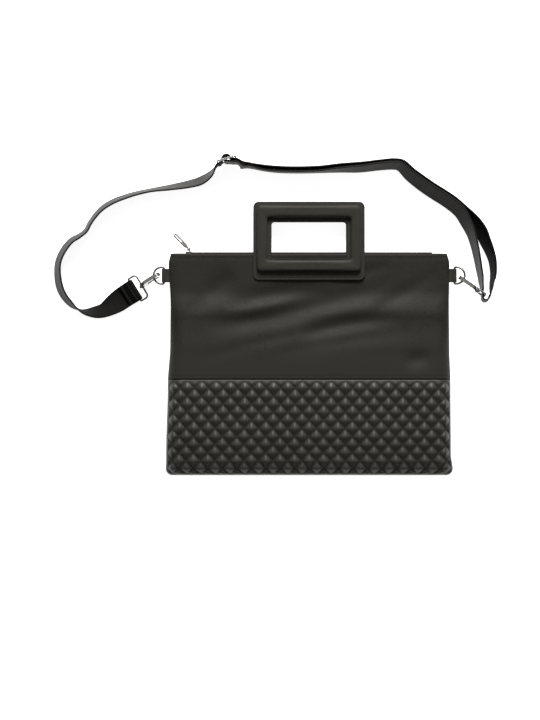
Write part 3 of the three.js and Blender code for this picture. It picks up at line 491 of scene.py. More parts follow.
def put_piece(name, points, faces, finish, body="root", replaces=(), slot="leather"):
    """Makes a piece's mesh of closed surfaces, turned outwards, and hangs it on its body."""
    mesh = bpy.data.meshes.new(name)
    mesh.from_pydata(np.asarray(points).reshape(-1, 3).tolist(), [], [list(f) for f in faces])
    piece = bpy.data.objects.new(name, mesh)
    bpy.context.scene.collection.objects.link(piece)
    turn_out(piece)
    mesh.materials.append(finish_material(finish))
    mesh.shade_smooth()
    if replaces:
        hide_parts(*replaces)
    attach(piece, body)
    return piece


def turn_out(piece):
    """Turns the faces of closed surfaces outwards."""
    work = bmesh.new()
    work.from_mesh(piece.data)
    bmesh.ops.recalc_face_normals(work, faces=work.faces)
    work.to_mesh(piece.data)
    work.free()


def applied(piece):
    """A piece's mesh as its modifiers leave it."""
    view = bpy.context.evaluated_depsgraph_get()
    return bpy.data.meshes.new_from_object(piece.evaluated_get(view))


def finish_with(piece, kind, **settings):
    """Adds a modifier with its settings."""
    modifier = piece.modifiers.new(kind.title(), kind)
    for key, value in settings.items():
        setattr(modifier, key, value)
    return modifier


def sharpen(piece, degrees=40):
    """Keeps edges sharper than an angle crisp."""
    piece.data.set_sharp_from_angle(angle=math.radians(degrees))


def joined(parts):
    """Joins meshes, given as points and faces, into one."""
    points, faces, start = [], [], 0
    for part_points, part_faces in parts:
        part_points = np.asarray(part_points).reshape(-1, 3)
        points.append(part_points)
        faces.extend([tuple(np.asarray(face) + start) for face in part_faces])
        start += len(part_points)
    return np.concatenate(points), faces


def shell(upper, lower):
    """Closed wall between two grids of points of the same size, joined round their rim."""
    rows, columns = upper.shape[:2]
    count = rows * columns
    skin = grid_faces(rows, columns)
    index = np.arange(count).reshape(rows, columns)
    rim = np.concatenate([index[:-1, 0], index[-1, :-1], index[:0:-1, -1], index[0, :0:-1]])
    after = np.roll(rim, -1)
    sides = np.stack([rim, after, after + count, rim + count], axis=-1)
    faces = np.concatenate([skin, skin[:, ::-1] + count, sides])
    return np.concatenate([upper.reshape(-1, 3), lower.reshape(-1, 3)]), faces


def shares(columns, rows):
    """Even shares from 0 to 1 both ways, as a grid of columns by rows."""
    return np.meshgrid(np.linspace(0, 1, columns + 1), np.linspace(0, 1, rows + 1), indexing="ij")


def straight(x):
    """A path along the X axis through the given places."""
    return np.stack([x, 0 * x, 0 * x], axis=-1)


def lifted(flat, z):
    """Points with one more number, which is the same for all: a flat outline at one height."""
    return np.column_stack([flat, np.full(len(flat), z)])


def sweep(path, across, up, section, closed=False):
    """Carries a closed section along a path: each point is the path's place plus the section's
    first number times across plus its second times up. Across and up are one direction, or one
    for each place, and so is the section. Open ends are capped."""
    path = np.asarray(path)
    across, up = np.broadcast_to(across, path.shape), np.broadcast_to(up, path.shape)
    section = np.broadcast_to(section, (len(path), *np.shape(section)[-2:]))
    points = (path[:, None, :] + section[..., 0:1] * across[:, None, :]
              + section[..., 1:2] * up[:, None, :])
    rows, columns = points.shape[:2]
    faces = [tuple(face) for face in grid_faces(rows, columns, closed, True)]
    if not closed:
        faces.append(tuple(range(columns)))
        faces.append(tuple(range((rows - 1) * columns, rows * columns))[::-1])
    return points.reshape(-1, 3), faces


def circle(radius, sides):
    """Points of a circle."""
    angle = np.arange(sides) * TURN / sides
    return np.stack([radius * np.cos(angle), radius * np.sin(angle)], axis=-1)


def wire_loop(path, radius, sides, normal):
    """A closed round wire along a path in the plane with that normal."""
    ahead = unit(np.roll(path, -1, axis=0) - np.roll(path, 1, axis=0))
    across = unit(np.cross(ahead, normal))
    return sweep(path, across, np.cross(across, ahead), circle(radius, sides), True)


def arc(x, y, radius, start, end, steps):
    """Points of an arc in a plane, from one angle to another in degrees."""
    angle = np.radians(np.linspace(start, end, steps + 1))
    return np.stack([x + radius * np.cos(angle), y + radius * np.sin(angle)], axis=-1)


def run_along(path):
    """How far along a path each of its points lies."""
    gaps = np.linalg.norm(np.diff(path, axis=0), axis=-1)
    return np.concatenate([[0.0], np.cumsum(gaps)])


def evenly(outline, step, closed=True):
    """An outline's points set evenly along it, about a step apart."""
    outline = np.asarray(outline, dtype=float)
    if closed:
        outline = np.concatenate([outline, outline[:1]])
    run = run_along(outline)
    count = max(int(round(run[-1] / step)), 3)
    at = np.linspace(0, run[-1], count + 1)
    if closed:
        at = at[:-1]
    return np.stack([np.interp(at, run, outline[:, k]) for k in range(outline.shape[1])], axis=-1)


def round_box(left, right, bottom, top, radius, steps=8):
    """A rectangle with round corners, anticlockwise from its lower right corner."""
    return np.concatenate([
        arc(right - radius, bottom + radius, radius, -90, 0, steps),
        arc(right - radius, top - radius, radius, 0, 90, steps),
        arc(left + radius, top - radius, radius, 90, 180, steps),
        arc(left + radius, bottom + radius, radius, 180, 270, steps)])


def lathe(profile, sides=24):
    """Turns a profile of (place along X, radius), closed at both ends, round the X axis."""
    profile = np.asarray(profile)
    radius = np.maximum(profile[:, 1], 1e-6)[:, None, None]
    return sweep(straight(profile[:, 0]), Y_AXIS, UP, radius * circle(1.0, sides))


def block(corner, far):
    """A box between two corners."""
    x, y, z = np.stack([corner, far], axis=-1)
    grid = np.stack(np.meshgrid(x, y, z, indexing="ij"), axis=-1).reshape(-1, 3)
    faces = [(0, 1, 3, 2), (4, 6, 7, 5), (0, 4, 5, 1), (2, 3, 7, 6), (0, 2, 6, 4), (1, 5, 7, 3)]
    return grid, faces


def plate(outline, holes, thickness):
    """A flat plate of even thickness between two outlines of the same number of points, or a
    solid one without a hole. It lies in the XY plane, centred on it."""
    half = thickness / 2
    if holes is None:
        count = len(outline)
        ring = np.arange(count)
        after = np.roll(ring, -1)
        faces = [tuple(ring[::-1]), tuple(ring + count)]
        faces += [tuple(f) for f in np.stack([ring, after, after + count, ring + count], axis=-1)]
        return np.concatenate([lifted(outline, -half), lifted(outline, half)]), faces
    loops = [(outline, -half), (outline, half), (holes, half), (holes, -half)]
    points = np.stack([lifted(flat, level) for flat, level in loops], axis=1)
    return points.reshape(-1, 3), grid_faces(len(outline), 4, True, True)


def heading(degrees):
    """Level direction so many degrees round from the X axis."""
    angle = math.radians(degrees)
    return np.array([math.cos(angle), math.sin(angle), 0])


# The axes of a lathed part that stands upright
ON_END = [UP, (1.0, 0.0, 0.0), Y_AXIS]


def placed(part, origin, x_axis, y_axis, z_axis):
    """Moves a part made in its own axes to its place on the bag."""
    points, faces = part
    turned = np.asarray(points) @ np.stack([x_axis, y_axis, z_axis])
    return turned + np.asarray(origin), faces


# Points round a stitch, and its rows: share of its length, and share of its full thickness
STITCH_RING = 6
STITCH_ROWS = np.array([[0.0, 0.05], [0.10, 0.75], [0.32, 1.0], [0.68, 1.0], [0.90, 0.75],
                        [1.0, 0.05]])


def stitches(starts, ends, normals, radius, rise=0.6):
    """Small stitches as capped threads that arch out of the leather: for each, a ring of points
    at each share of its length, as arrays of all stitches at once."""
    starts, ends, normals = (np.asarray(a, dtype=float) for a in (starts, ends, normals))
    ahead = unit(ends - starts)
    side = unit(np.cross(ahead, normals))
    out = np.cross(side, ahead)
    share, swell = STITCH_ROWS[:, 0], STITCH_ROWS[:, 1]
    arch = radius * (rise * np.sin(math.pi * share) - 0.25)
    middle = (starts[:, None, :] + share[None, :, None] * (ends - starts)[:, None, :]
              + arch[None, :, None] * out[:, None, :])
    angle = np.arange(STITCH_RING) * TURN / STITCH_RING
    ring = (np.cos(angle)[None, :, None] * side[:, None, :]
            + np.sin(angle)[None, :, None] * out[:, None, :])
    points = middle[:, :, None, :] + radius * swell[None, :, None, None] * ring[:, None, :, :]
    each = grid_faces(len(share), STITCH_RING, False, True)
    per = len(share) * STITCH_RING
    offsets = np.arange(len(starts))[:, None, None] * per
    faces = [tuple(f) for f in (each[None] + offsets).reshape(-1, 4)]
    first = np.arange(STITCH_RING)
    last = first + (len(share) - 1) * STITCH_RING
    faces += [tuple(f) for f in first[None] + offsets[:, 0]]
    faces += [tuple(f) for f in last[None, ::-1] + offsets[:, 0]]
    return points.reshape(-1, 3), faces


def stitch_row(path, normals, sizes, short=1.0, thick=1.0):
    """A row of stitches along a path, with one direction out of the leather or one a point. The
    stitches may be shorter and thicker than the usual ones, by the shares given."""
    pitch, stitch = sizes.stitch_pitch * short, sizes.stitch * short
    normals = np.broadcast_to(normals, path.shape)
    run = run_along(path)
    count = max(int(run[-1] / pitch), 1)
    start = np.arange(count) * run[-1] / count + (pitch - stitch) / 2

    def at(where, values):
        """The points' values, read so far along the path."""
        return np.stack([np.interp(where, run, values[:, k]) for k in range(3)], axis=-1)

    return stitches(at(start, path), at(start + stitch, path), unit(at(start, normals)),
                    sizes.thread * thick)


OUTLINE = [
    {"y": 1, "left": 0.994, "right": 0.978},
    {"y": 0.9, "left": 1.01, "right": 0.996},
    {"y": 0.55, "left": 0.996, "right": 0.992},
    {"y": 0.18, "left": 0.998, "right": 0.994},
    {"y": -0.2, "left": 1.016, "right": 1.003},
    {"y": -0.8, "left": 1.028, "right": 1.006},
    {"y": -0.95, "left": 1.03, "right": 1.02},
]
RISE = [
    {"y": 1, "rise": 0},
    {"y": 0.66, "rise": 0},
    {"y": 0.42, "rise": 0.52},
    {"y": 0.12, "rise": 0.9},
    {"y": -0.15, "rise": 1},
    {"y": -0.6, "rise": 0.97},
    {"y": -0.9, "rise": 0.82},
]
DROP = [
    {"y": 1, "drop": 0},
    {"y": 0.66, "drop": 0},
    {"y": 0.36, "drop": 1},
]
# Folds as shares of the half width and half height. A negative depth is a ridge
FOLDS = [
    {"x0": -0.75, "y0": 0.34, "x1": 0.66, "y1": 0.76, "bend": -0.05, "width": 0.1, "depth": 0.46},
    {"x0": -0.61, "y0": 0.52, "x1": 0.14, "y1": 0.68, "bend": 0.03, "width": 0.08, "depth": 0.36},
    {"x0": -0.64, "y0": 0.42, "x1": 0.0, "y1": 0.6, "bend": 0, "width": 0.06, "depth": -0.16},
    {"x0": -0.53, "y0": 0.8, "x1": -0.76, "y1": 0.62, "bend": 0, "width": 0.1, "depth": 0.22},
    {"x0": -0.1, "y0": 0.25, "x1": 0.66, "y1": 0.42, "bend": 0.03, "width": 0.075, "depth": 0.27},
    {"x0": 0.65, "y0": 0.02, "x1": 0.86, "y1": 0.06, "bend": 0, "width": 0.07, "depth": 0.12},
    {"x0": -0.96, "y0": 0.38, "x1": -0.5, "y1": 0.84, "bend": 0, "width": 0.08, "depth": 0.16},
    {"x0": 0.42, "y0": 0.46, "x1": 0.93, "y1": 0.82, "bend": 0, "width": 0.07, "depth": 0.2},
    {"x0": 0.1, "y0": 0.7, "x1": 0.6, "y1": 0.9, "bend": 0, "width": 0.06, "depth": 0.2},
    {"x0": -0.3, "y0": 0.1, "x1": 0.75, "y1": 0.3, "bend": 0, "width": 0.07, "depth": 0.08},
    {"x0": -0.8, "y0": 0.05, "x1": 0.3, "y1": 0.36, "bend": 0.02, "width": 0.06, "depth": 0.07},
]


class Pouch:
    """The pouch's curved sides, worked out from its sizes. Each side is a quarter ellipse beside
    its seams: inwards the radius times one less the cosine, upwards the sine of the angle."""

    def __init__(self, context):
        self.sizes = context.scene.tallit_pouch
        self.half_width = self.sizes.width / 2
        self.half_height = self.sizes.height / 2
        self.panel_top = self.half_height - self.sizes.zip_stand
        self.band_line = self.sizes.band_line

    def edge(self, y, side, inset):
        """Half width at each height, with the round bottom corners."""
        corner = self.sizes.corner
        above = np.clip((y + self.half_height) / corner, 0, 1)
        lost = corner * (1 - np.sqrt(np.maximum(1 - (1 - above) ** 2, 0)))
        return eased(OUTLINE, y / self.half_height, side) * self.half_width - lost - inset

    def roll(self, distance, radius):
        """How far in from the seam and how far up, for a way round the quarter ellipse."""
        angle = np.clip(distance / radius, 0, math.pi / 2)
        flat = np.maximum(distance - radius * math.pi / 2, 0)
        return radius * (1 - np.cos(angle)) + flat, np.sin(angle)

    def across(self, share, y, inset):
        """Places across a panel for shares of its width: x and the share of full height."""
        left = -self.edge(y, "left", inset)
        right = self.edge(y, "right", inset)
        radius = self.sizes.side_roll - inset
        total = right - left + radius * (math.pi - 2)
        distance = share * total
        near_left = distance < total / 2
        inward, up = self.roll(np.where(near_left, distance, total - distance), radius)
        return np.where(near_left, left + inward, right - inward), up

    def down(self, share, start, inset):
        """Places down a panel from a line to the bottom seam."""
        radius = self.sizes.bottom_roll - inset
        total = start + self.half_height - inset + radius * (math.pi / 2 - 1)
        inward, up = self.roll(total * (1 - share), radius)
        return -self.half_height + inset + inward, up

    def folds(self, x, y):
        """Depth of the folds as a share of the panel's height: along each fold a half sine,
        across it a bell."""
        depth = np.zeros_like(x)
        for fold in FOLDS:
            start = np.array([fold["x0"] * self.half_width, fold["y0"] * self.half_height])
            run = np.array([fold["x1"] * self.half_width, fold["y1"] * self.half_height]) - start
            size = np.hypot(*run)
            share = ((x - start[0]) * run[0] + (y - start[1]) * run[1]) / size ** 2
            inside = (share > 0) & (share < 1)
            arch = np.where(inside, np.sin(math.pi * np.clip(share, 0, 1)), 0)
            cross = ((x - start[0]) * run[1] - (y - start[1]) * run[0]) / size
            off = ((cross + fold["bend"] * self.half_height * arch)
                   / (fold["width"] * self.half_height))
            depth += fold["depth"] * arch * np.exp(-off * off)
        return depth

    def front(self, x, side_up, y, end_up, inset, extra):
        """Points of the front: the seam's level plus the mouth and the sag, less the folds."""
        gap = self.sizes.gap / 2
        full = self.sizes.mouth + self.sizes.lift * eased(RISE, y / self.half_height, "rise")
        lift = (full - (full + 0.003) * self.folds(x, y) - inset - gap) * side_up * end_up
        lift = np.maximum(lift, 0) + extra * np.minimum(side_up * end_up * 2.0, 1)
        return np.stack([x, y, self.sizes.seam_level + gap + lift], axis=-1)

    def back(self, x, side_up, y, end_up, inset, extra=0.0):
        """Points of the back: the seam's level less the drop, flat where the pouch lies."""
        gap = self.sizes.gap / 2
        deepest = self.sizes.seam_level - self.sizes.mouth
        drop = self.sizes.mouth + deepest * eased(DROP, y / self.half_height, "drop") - inset
        depth = np.maximum((drop - gap) * side_up * end_up, 0)
        return np.stack([x, y, self.sizes.seam_level - gap - depth + extra], axis=-1)

    def front_grid(self, x_share, y, end_up, inset, extra):
        """Points of the front for shares of its width."""
        x, side_up = self.across(x_share, y, inset)
        return self.front(x, side_up, y, end_up, inset, extra)

    def front_normal(self, x, y, step=0.0005):
        """Direction out of the front at places well inside its edges."""
        def height(a, b):
            """The front's height over the seam's level, without wall or edges."""
            full = self.sizes.mouth + self.sizes.lift * eased(RISE, b / self.half_height, "rise")
            return full * (1 - self.folds(a, b))
        slope_x = (height(x + step, y) - height(x - step, y)) / (2 * step)
        slope_y = (height(x, y + step) - height(x, y - step)) / (2 * step)
        return unit(np.stack([-slope_x, -slope_y, np.ones_like(x)], axis=-1))


def wrinkles(x, y):
    """Fine unevenness of soft leather: a few crossing long waves, a share of a millimetre high."""
    waves = [(21.0, 35.0, 0.4, 1.0), (-34.0, 51.0, 1.9, 0.7), (62.0, 23.0, 3.1, 0.5),
             (17.0, -88.0, 0.9, 0.35), (95.0, 64.0, 2.2, 0.22), (-120.0, 81.0, 4.0, 0.15)]
    total = np.zeros_like(x)
    for along, up, phase, size in waves:
        total += size * np.sin(along * x + up * y + phase + 0.6 * np.sin(31 * y + phase))
    return total


# Stitch rows of the plain leather, from its lower and its upper edge, and their grooves
BAND_STITCH = 0.0032
HEM_STITCH = 0.0065
GROOVE_DEEP = 0.00035
GROOVE_WIDE = 0.0009
# Height of the leather's fine waves, and their share left near the zip
WAVES = 0.00016
CALM_SHARE = 0.25


class TALLIT_OT_upper_panel(bpy.types.Operator):
    """Plain upper leather of the front, with its slanting folds and turned top edge"""
    bl_idname = "tallit.upper_panel"
    bl_label = "Upper Panel"

    def execute(self, context):
        pouch = Pouch(context)
        sizes = pouch.sizes
        bottom = pouch.band_line + sizes.gap / 2
        share, level = shares(226, 92)
        y = bottom + (pouch.panel_top - bottom) * level
        # The leather rolls over to the band seam and to the zip, and dips at the stitches
        roll_in = 0.0012
        seam = np.clip((y - bottom) / roll_in, 0, 1)
        hem = np.clip((pouch.panel_top - y) / roll_in, 0, 1)
        edge_drop = 0.0007 * (np.sqrt(1 - (1 - seam) ** 2) + np.sqrt(1 - (1 - hem) ** 2) - 2)
        groove = -GROOVE_DEEP * np.exp(-((y - bottom - BAND_STITCH) / GROOVE_WIDE) ** 2)
        groove -= GROOVE_DEEP * np.exp(-((pouch.panel_top - HEM_STITCH - y) / GROOVE_WIDE) ** 2)
        x, _ = pouch.across(share, y, 0)
        calm = smooth_step((pouch.panel_top - 0.030 - y) / 0.04)
        waves = WAVES * wrinkles(x, y) * (CALM_SHARE + (1 - CALM_SHARE) * calm)
        upper = pouch.front_grid(share, y, 1.0, 0.0, edge_drop + groove + waves)
        lower = pouch.front_grid(share, y, 1.0, sizes.wall, waves)
        points, faces = shell(upper, lower)
        put_piece("front_upper_leather", points, faces, "soft leather",
                  replaces=["front_upper_panel"])
        return {"FINISHED"}


def quilt_height(along, down):
    """Height of the quilting as a share of its puff. Along and down count half diamonds. Turned
    by half a right angle, each diamond is a square from -1 to 1 both ways: half a pillow, the
    product of a cosine each way, and half a pyramid, so its sides meet in narrow creases."""
    first = np.mod(along + down, 2) - 1
    second = np.mod(along - down, 2) - 1
    tall = 1 - np.maximum(np.abs(first), np.abs(second))
    pillow = np.cos(math.pi / 2 * first) * np.cos(math.pi / 2 * second)
    return 0.5 * tall + 0.5 * pillow


def quilt_count(pouch):
    """Number of half diamonds across and down the quilted leather, and its top edge."""
    sizes = pouch.sizes
    across = 2 * round((sizes.width + sizes.side_roll * (math.pi - 2)) / sizes.pitch_x / 2)
    top = pouch.band_line - sizes.gap / 2
    arc_down = top + pouch.half_height + sizes.bottom_roll * (math.pi / 2 - 1)
    return across, round(arc_down / sizes.pitch_y), top


class TALLIT_OT_quilted_panel(bpy.types.Operator):
    """Quilted lower leather of the front: diamond puffs over foam between sewn creases"""
    bl_idname = "tallit.quilted_panel"
    bl_label = "Quilted Panel"

    def execute(self, context):
        pouch = Pouch(context)
        sizes = pouch.sizes
        across, down, top = quilt_count(pouch)
        share, level = shares(across * 7, down * 9)
        y, end_up = pouch.down(level, top, 0)
        puff = quilt_height(share * across, level * down)
        rim = np.minimum(np.minimum(share, 1 - share) * across, np.minimum(level, 1 - level) * down)
        calm = smooth_step(rim / 0.8)
        extra = sizes.puff * puff * calm
        upper = pouch.front_grid(share, y, end_up, 0.0, extra)
        low_y, low_up = pouch.down(level, top, sizes.wall)
        lower = pouch.front_grid(share, low_y, low_up, sizes.wall, 0.0)
        points, faces = shell(upper, lower)
        piece = put_piece("front_quilted_leather", points, faces, "quilted leather",
                          replaces=["front_quilt_panel"])
        # The puff height is also stored for the quilted leather's painted shade in its creases
        height = np.zeros(len(points))
        height[:puff.size] = np.where(calm > 0.5, puff, 0.5).ravel()
        mark = piece.data.attributes.new("puff", "FLOAT", "POINT")
        mark.data.foreach_set("value", height.astype(np.float32))
        return {"FINISHED"}


class TALLIT_OT_back_panel(bpy.types.Operator):
    """Plain leather back, flat where the bag lies on it"""
    bl_idname = "tallit.back_panel"
    bl_label = "Back Panel"

    def execute(self, context):
        pouch = Pouch(context)
        sizes = pouch.sizes
        share, level = shares(150, 116)
        layers = []
        for inset in (0.0, sizes.wall):
            y, end_up = pouch.down(level, pouch.panel_top, inset)
            x, side_up = pouch.across(share, y, inset)
            flat = smooth_step((side_up * end_up - 0.55) / 0.4)
            soft = smooth_step((pouch.panel_top - y) / 0.05)
            uneven = 0.00012 * (wrinkles(x, y) + 2.9) * flat * soft
            uneven += 0.0006 * np.exp(-((pouch.panel_top - y) / 0.0009) ** 2)
            layers.append(pouch.back(x, side_up, y, end_up, inset, uneven))
        points, faces = shell(layers[1], layers[0])
        put_piece("back_leather", points, faces, "soft leather", replaces=["back_panel"])
        return {"FINISHED"}


class TALLIT_OT_side_seams(bpy.types.Operator):
    """Turned seam along the sides and the bottom, a narrow strip inside the two edges"""
    bl_idname = "tallit.side_seams"
    bl_label = "Side Seams"

    def execute(self, context):
        pouch = Pouch(context)
        sizes = pouch.sizes
        sunk = 0.0004
        sides = np.linspace(pouch.panel_top - 0.001, -pouch.half_height + sizes.corner, 130)
        turn = np.linspace(0, 1, 14)[1:]
        curve = -pouch.half_height + sizes.corner * (1 - np.sin(turn * math.pi / 2))
        y = np.concatenate([sides, curve])
        left = np.stack([-pouch.edge(y, "left", sunk), y], axis=-1)
        right = np.stack([pouch.edge(y, "right", sunk), y], axis=-1)[::-1]
        left[:, 1] = np.maximum(left[:, 1], -pouch.half_height + sunk)
        right[:, 1] = np.maximum(right[:, 1], -pouch.half_height + sunk)
        flat = evenly(np.concatenate([left, right]), 0.002, closed=False)
        path = lifted(flat, sizes.seam_level)
        ahead = unit(np.gradient(path, axis=0))
        across = unit(np.cross(ahead, UP))
        section = round_box(-0.0001, 0.0022, -0.00013, 0.00013, 0.0001, 3) * [-1, 1]
        put_piece("side_seam_fold", *sweep(path, across, UP, section), "soft leather")
        return {"FINISHED"}


def frame_loop(frame_box, offset, radius, side_steps=44, corner_steps=8):
    """A rectangle with round corners, shrunk by an offset, with even steps on its sides."""
    left, right, bottom, top = frame_box
    left, right, bottom, top = left + offset, right - offset, bottom + offset, top - offset
    radius = max(radius - offset, 0.0004)
    corners = [(right - radius, bottom + radius, -90), (right - radius, top - radius, 0),
               (left + radius, top - radius, 90), (left + radius, bottom + radius, 180)]
    loop = []
    for k, (x, y, start) in enumerate(corners):
        bend = arc(x, y, radius, start, start + 90, corner_steps)
        following = corners[(k + 1) % 4]
        first = arc(following[0], following[1], radius, following[2], following[2] + 90, 1)[0]
        side = bend[-1] + (first - bend[-1]) * np.linspace(0, 1, side_steps + 1)[1:-1, None]
        loop.extend([bend, side])
    return np.concatenate(loop)


def frame_surface(outer, outer_corner, window, window_corner, rows):
    """A closed frame: loops at each row's (offset inwards from the outer edge, height), then
    backwards at each row's offset outwards from the window, joined round to the first."""
    loops = [lifted(frame_loop(outer, offset, outer_corner), z) for offset, z in rows]
    loops += [lifted(frame_loop(window, -offset, window_corner), z) for offset, z in rows[::-1]]
    points = np.stack(loops, axis=1)
    return points.reshape(-1, 3), grid_faces(points.shape[0], points.shape[1], True, True)


class Handle:
    """One handle's frame, from its packed backing and pad."""

    def __init__(self, context, side):
        self.sizes = context.scene.tallit_handle
        backing_low, backing_high = low(f"{side}_handle_backing"), high(f"{side}_handle_backing")
        pad_low, pad_high = low(f"{side}_handle_pad"), high(f"{side}_handle_pad")
        self.outer = (backing_low[0], backing_high[0], backing_low[1], backing_high[1])
        self.pad = (pad_low[0], pad_high[0], pad_low[1], pad_high[1])
        sizes = self.sizes
        self.hole = (self.pad[0] + sizes.bar, self.pad[1] - sizes.bar,
                     self.pad[2] + sizes.bottom_bar, self.pad[3] - sizes.top_bar)
        self.window = (self.hole[0] + sizes.border, self.hole[1] - sizes.border,
                       self.hole[2] - sizes.bottom_border, self.hole[3] - sizes.top_border)
        self.out = 1 if side == "front" else -1
        self.backing_base = backing_low[2] if self.out > 0 else backing_high[2]
        self.pad_base = pad_low[2] if self.out > 0 else pad_high[2]
        self.pad_rise = pad_high[2] - pad_low[2]

    def level(self, base, rise):
        """Height of a place that stands so far out of a base."""
        return base + self.out * rise


# The flange's stitch groove and its whole edge: how far in, and how far out of its base
GROOVE_IN, GROOVE_OUT = 0.0022, 0.00134
BACKING_EDGE = [(0.0007, 0.0), (0.0002, 0.0002), (0.0, 0.0006), (0.0, 0.0010), (0.0002, 0.0014),
                (0.0007, 0.0016), (0.0013, 0.00158), (0.0018, 0.00140), (GROOVE_IN, GROOVE_OUT),
                (0.0026, 0.00140), (0.0032, 0.00158), (0.0040, 0.0016)]


class TALLIT_OT_handle_backings(bpy.types.Operator):
    """Flat sewn flanges of the two handles, with a window, a rounded edge and a stitch groove"""
    bl_idname = "tallit.handle_backings"
    bl_label = "Handle Backings"

    def execute(self, context):
        for side in ("front", "back"):
            handle = Handle(context, side)
            rows = [(offset, handle.level(handle.backing_base, rise))
                    for offset, rise in BACKING_EDGE]
            part = frame_surface(handle.outer, handle.sizes.corner, handle.window,
                                 handle.sizes.inner_corner, rows)
            put_piece(f"{side}_handle_flange", *part, "handle leather",
                      replaces=[f"{side}_handle_backing"])
        return {"FINISHED"}


STUFFING_FRAMES = 20


def stuffed(piece, voxel, pressure, cap):
    """Stuffs a closed piece: an even voxel mesh, cloth with pressure inside it and no gravity,
    and no point further than the cap from where it started."""
    scene = bpy.context.scene
    remesh = finish_with(piece, "REMESH", mode="VOXEL", voxel_size=voxel)
    even = applied(piece)
    piece.modifiers.remove(remesh)
    bag = bpy.data.objects.new("stuffing", even)
    scene.collection.objects.link(bag)
    start = np.empty(len(even.vertices) * 3)
    even.vertices.foreach_get("co", start)
    cloth = finish_with(bag, "CLOTH")
    for key, value in {"quality": 6, "mass": 0.2, "tension_stiffness": 20,
                       "compression_stiffness": 20, "shear_stiffness": 8,
                       "bending_stiffness": 0.4, "use_pressure": True,
                       "uniform_pressure_force": pressure}.items():
        setattr(cloth.settings, key, value)
    cloth.settings.effector_weights.gravity = 0
    cloth.point_cache.frame_start, cloth.point_cache.frame_end = 1, STUFFING_FRAMES
    for number in range(1, STUFFING_FRAMES + 1):
        scene.frame_set(number)
    filled = bag.evaluated_get(bpy.context.evaluated_depsgraph_get()).to_mesh()
    after = np.empty(len(filled.vertices) * 3)
    filled.vertices.foreach_get("co", after)
    move = (after - start).reshape(-1, 3)
    far = np.linalg.norm(move, axis=-1, keepdims=True)
    move *= np.minimum(1, cap / np.maximum(far, 1e-9))
    scene.frame_set(1)
    faces = [tuple(face.vertices) for face in even.polygons]
    bpy.data.objects.remove(bag)
    bpy.data.meshes.remove(even)
    return start.reshape(-1, 3) + move, faces


class TALLIT_OT_handle_pads(bpy.types.Operator):
    """Padded frames of the two handles, stuffed by a cloth simulation"""
    bl_idname = "tallit.handle_pads"
    bl_label = "Handle Pads"

    def execute(self, context):
        front = Handle(context, "front")
        rise = front.pad_rise
        # The draft is smaller by what the stuffing adds
        less = 0.0004
        rows = [(0.0010 + less, 0.0), (0.0002 + less, 0.0004), (less, 0.0014),
                (less, 0.0030), (0.0003 + less, 0.0039), (0.0011 + less, 0.0046),
                (0.0024 + less, rise - 0.0004), (0.0045, rise - 0.0001)]
        rows = [(offset, front.level(front.pad_base, z)) for offset, z in rows]
        points, faces = frame_surface(front.pad, front.sizes.corner - 0.001, front.hole,
                                      0.0022, rows)
        draft = put_piece("pad_draft", points, faces, "handle leather")
        points, faces = stuffed(draft, 0.0012, front.sizes.pressure, front.sizes.swell)
        bpy.data.objects.remove(draft)
        points[:, 2] = np.clip(points[:, 2], front.pad_base, front.pad_base + rise + 0.0004)
        pads = {"front": points}
        back = Handle(context, "back")
        flatter = back.pad_rise / (rise + 0.0004)
        pads["back"] = points * [1, 1, -flatter] + [0, 0, flatter * front.pad_base + back.pad_base]
        for side, places in pads.items():
            piece = put_piece(f"{side}_handle_padding", places, faces, "handle leather",
                              replaces=[f"{side}_handle_pad"])
            finish_with(piece, "SUBSURF", levels=1, render_levels=1)
        return {"FINISHED"}


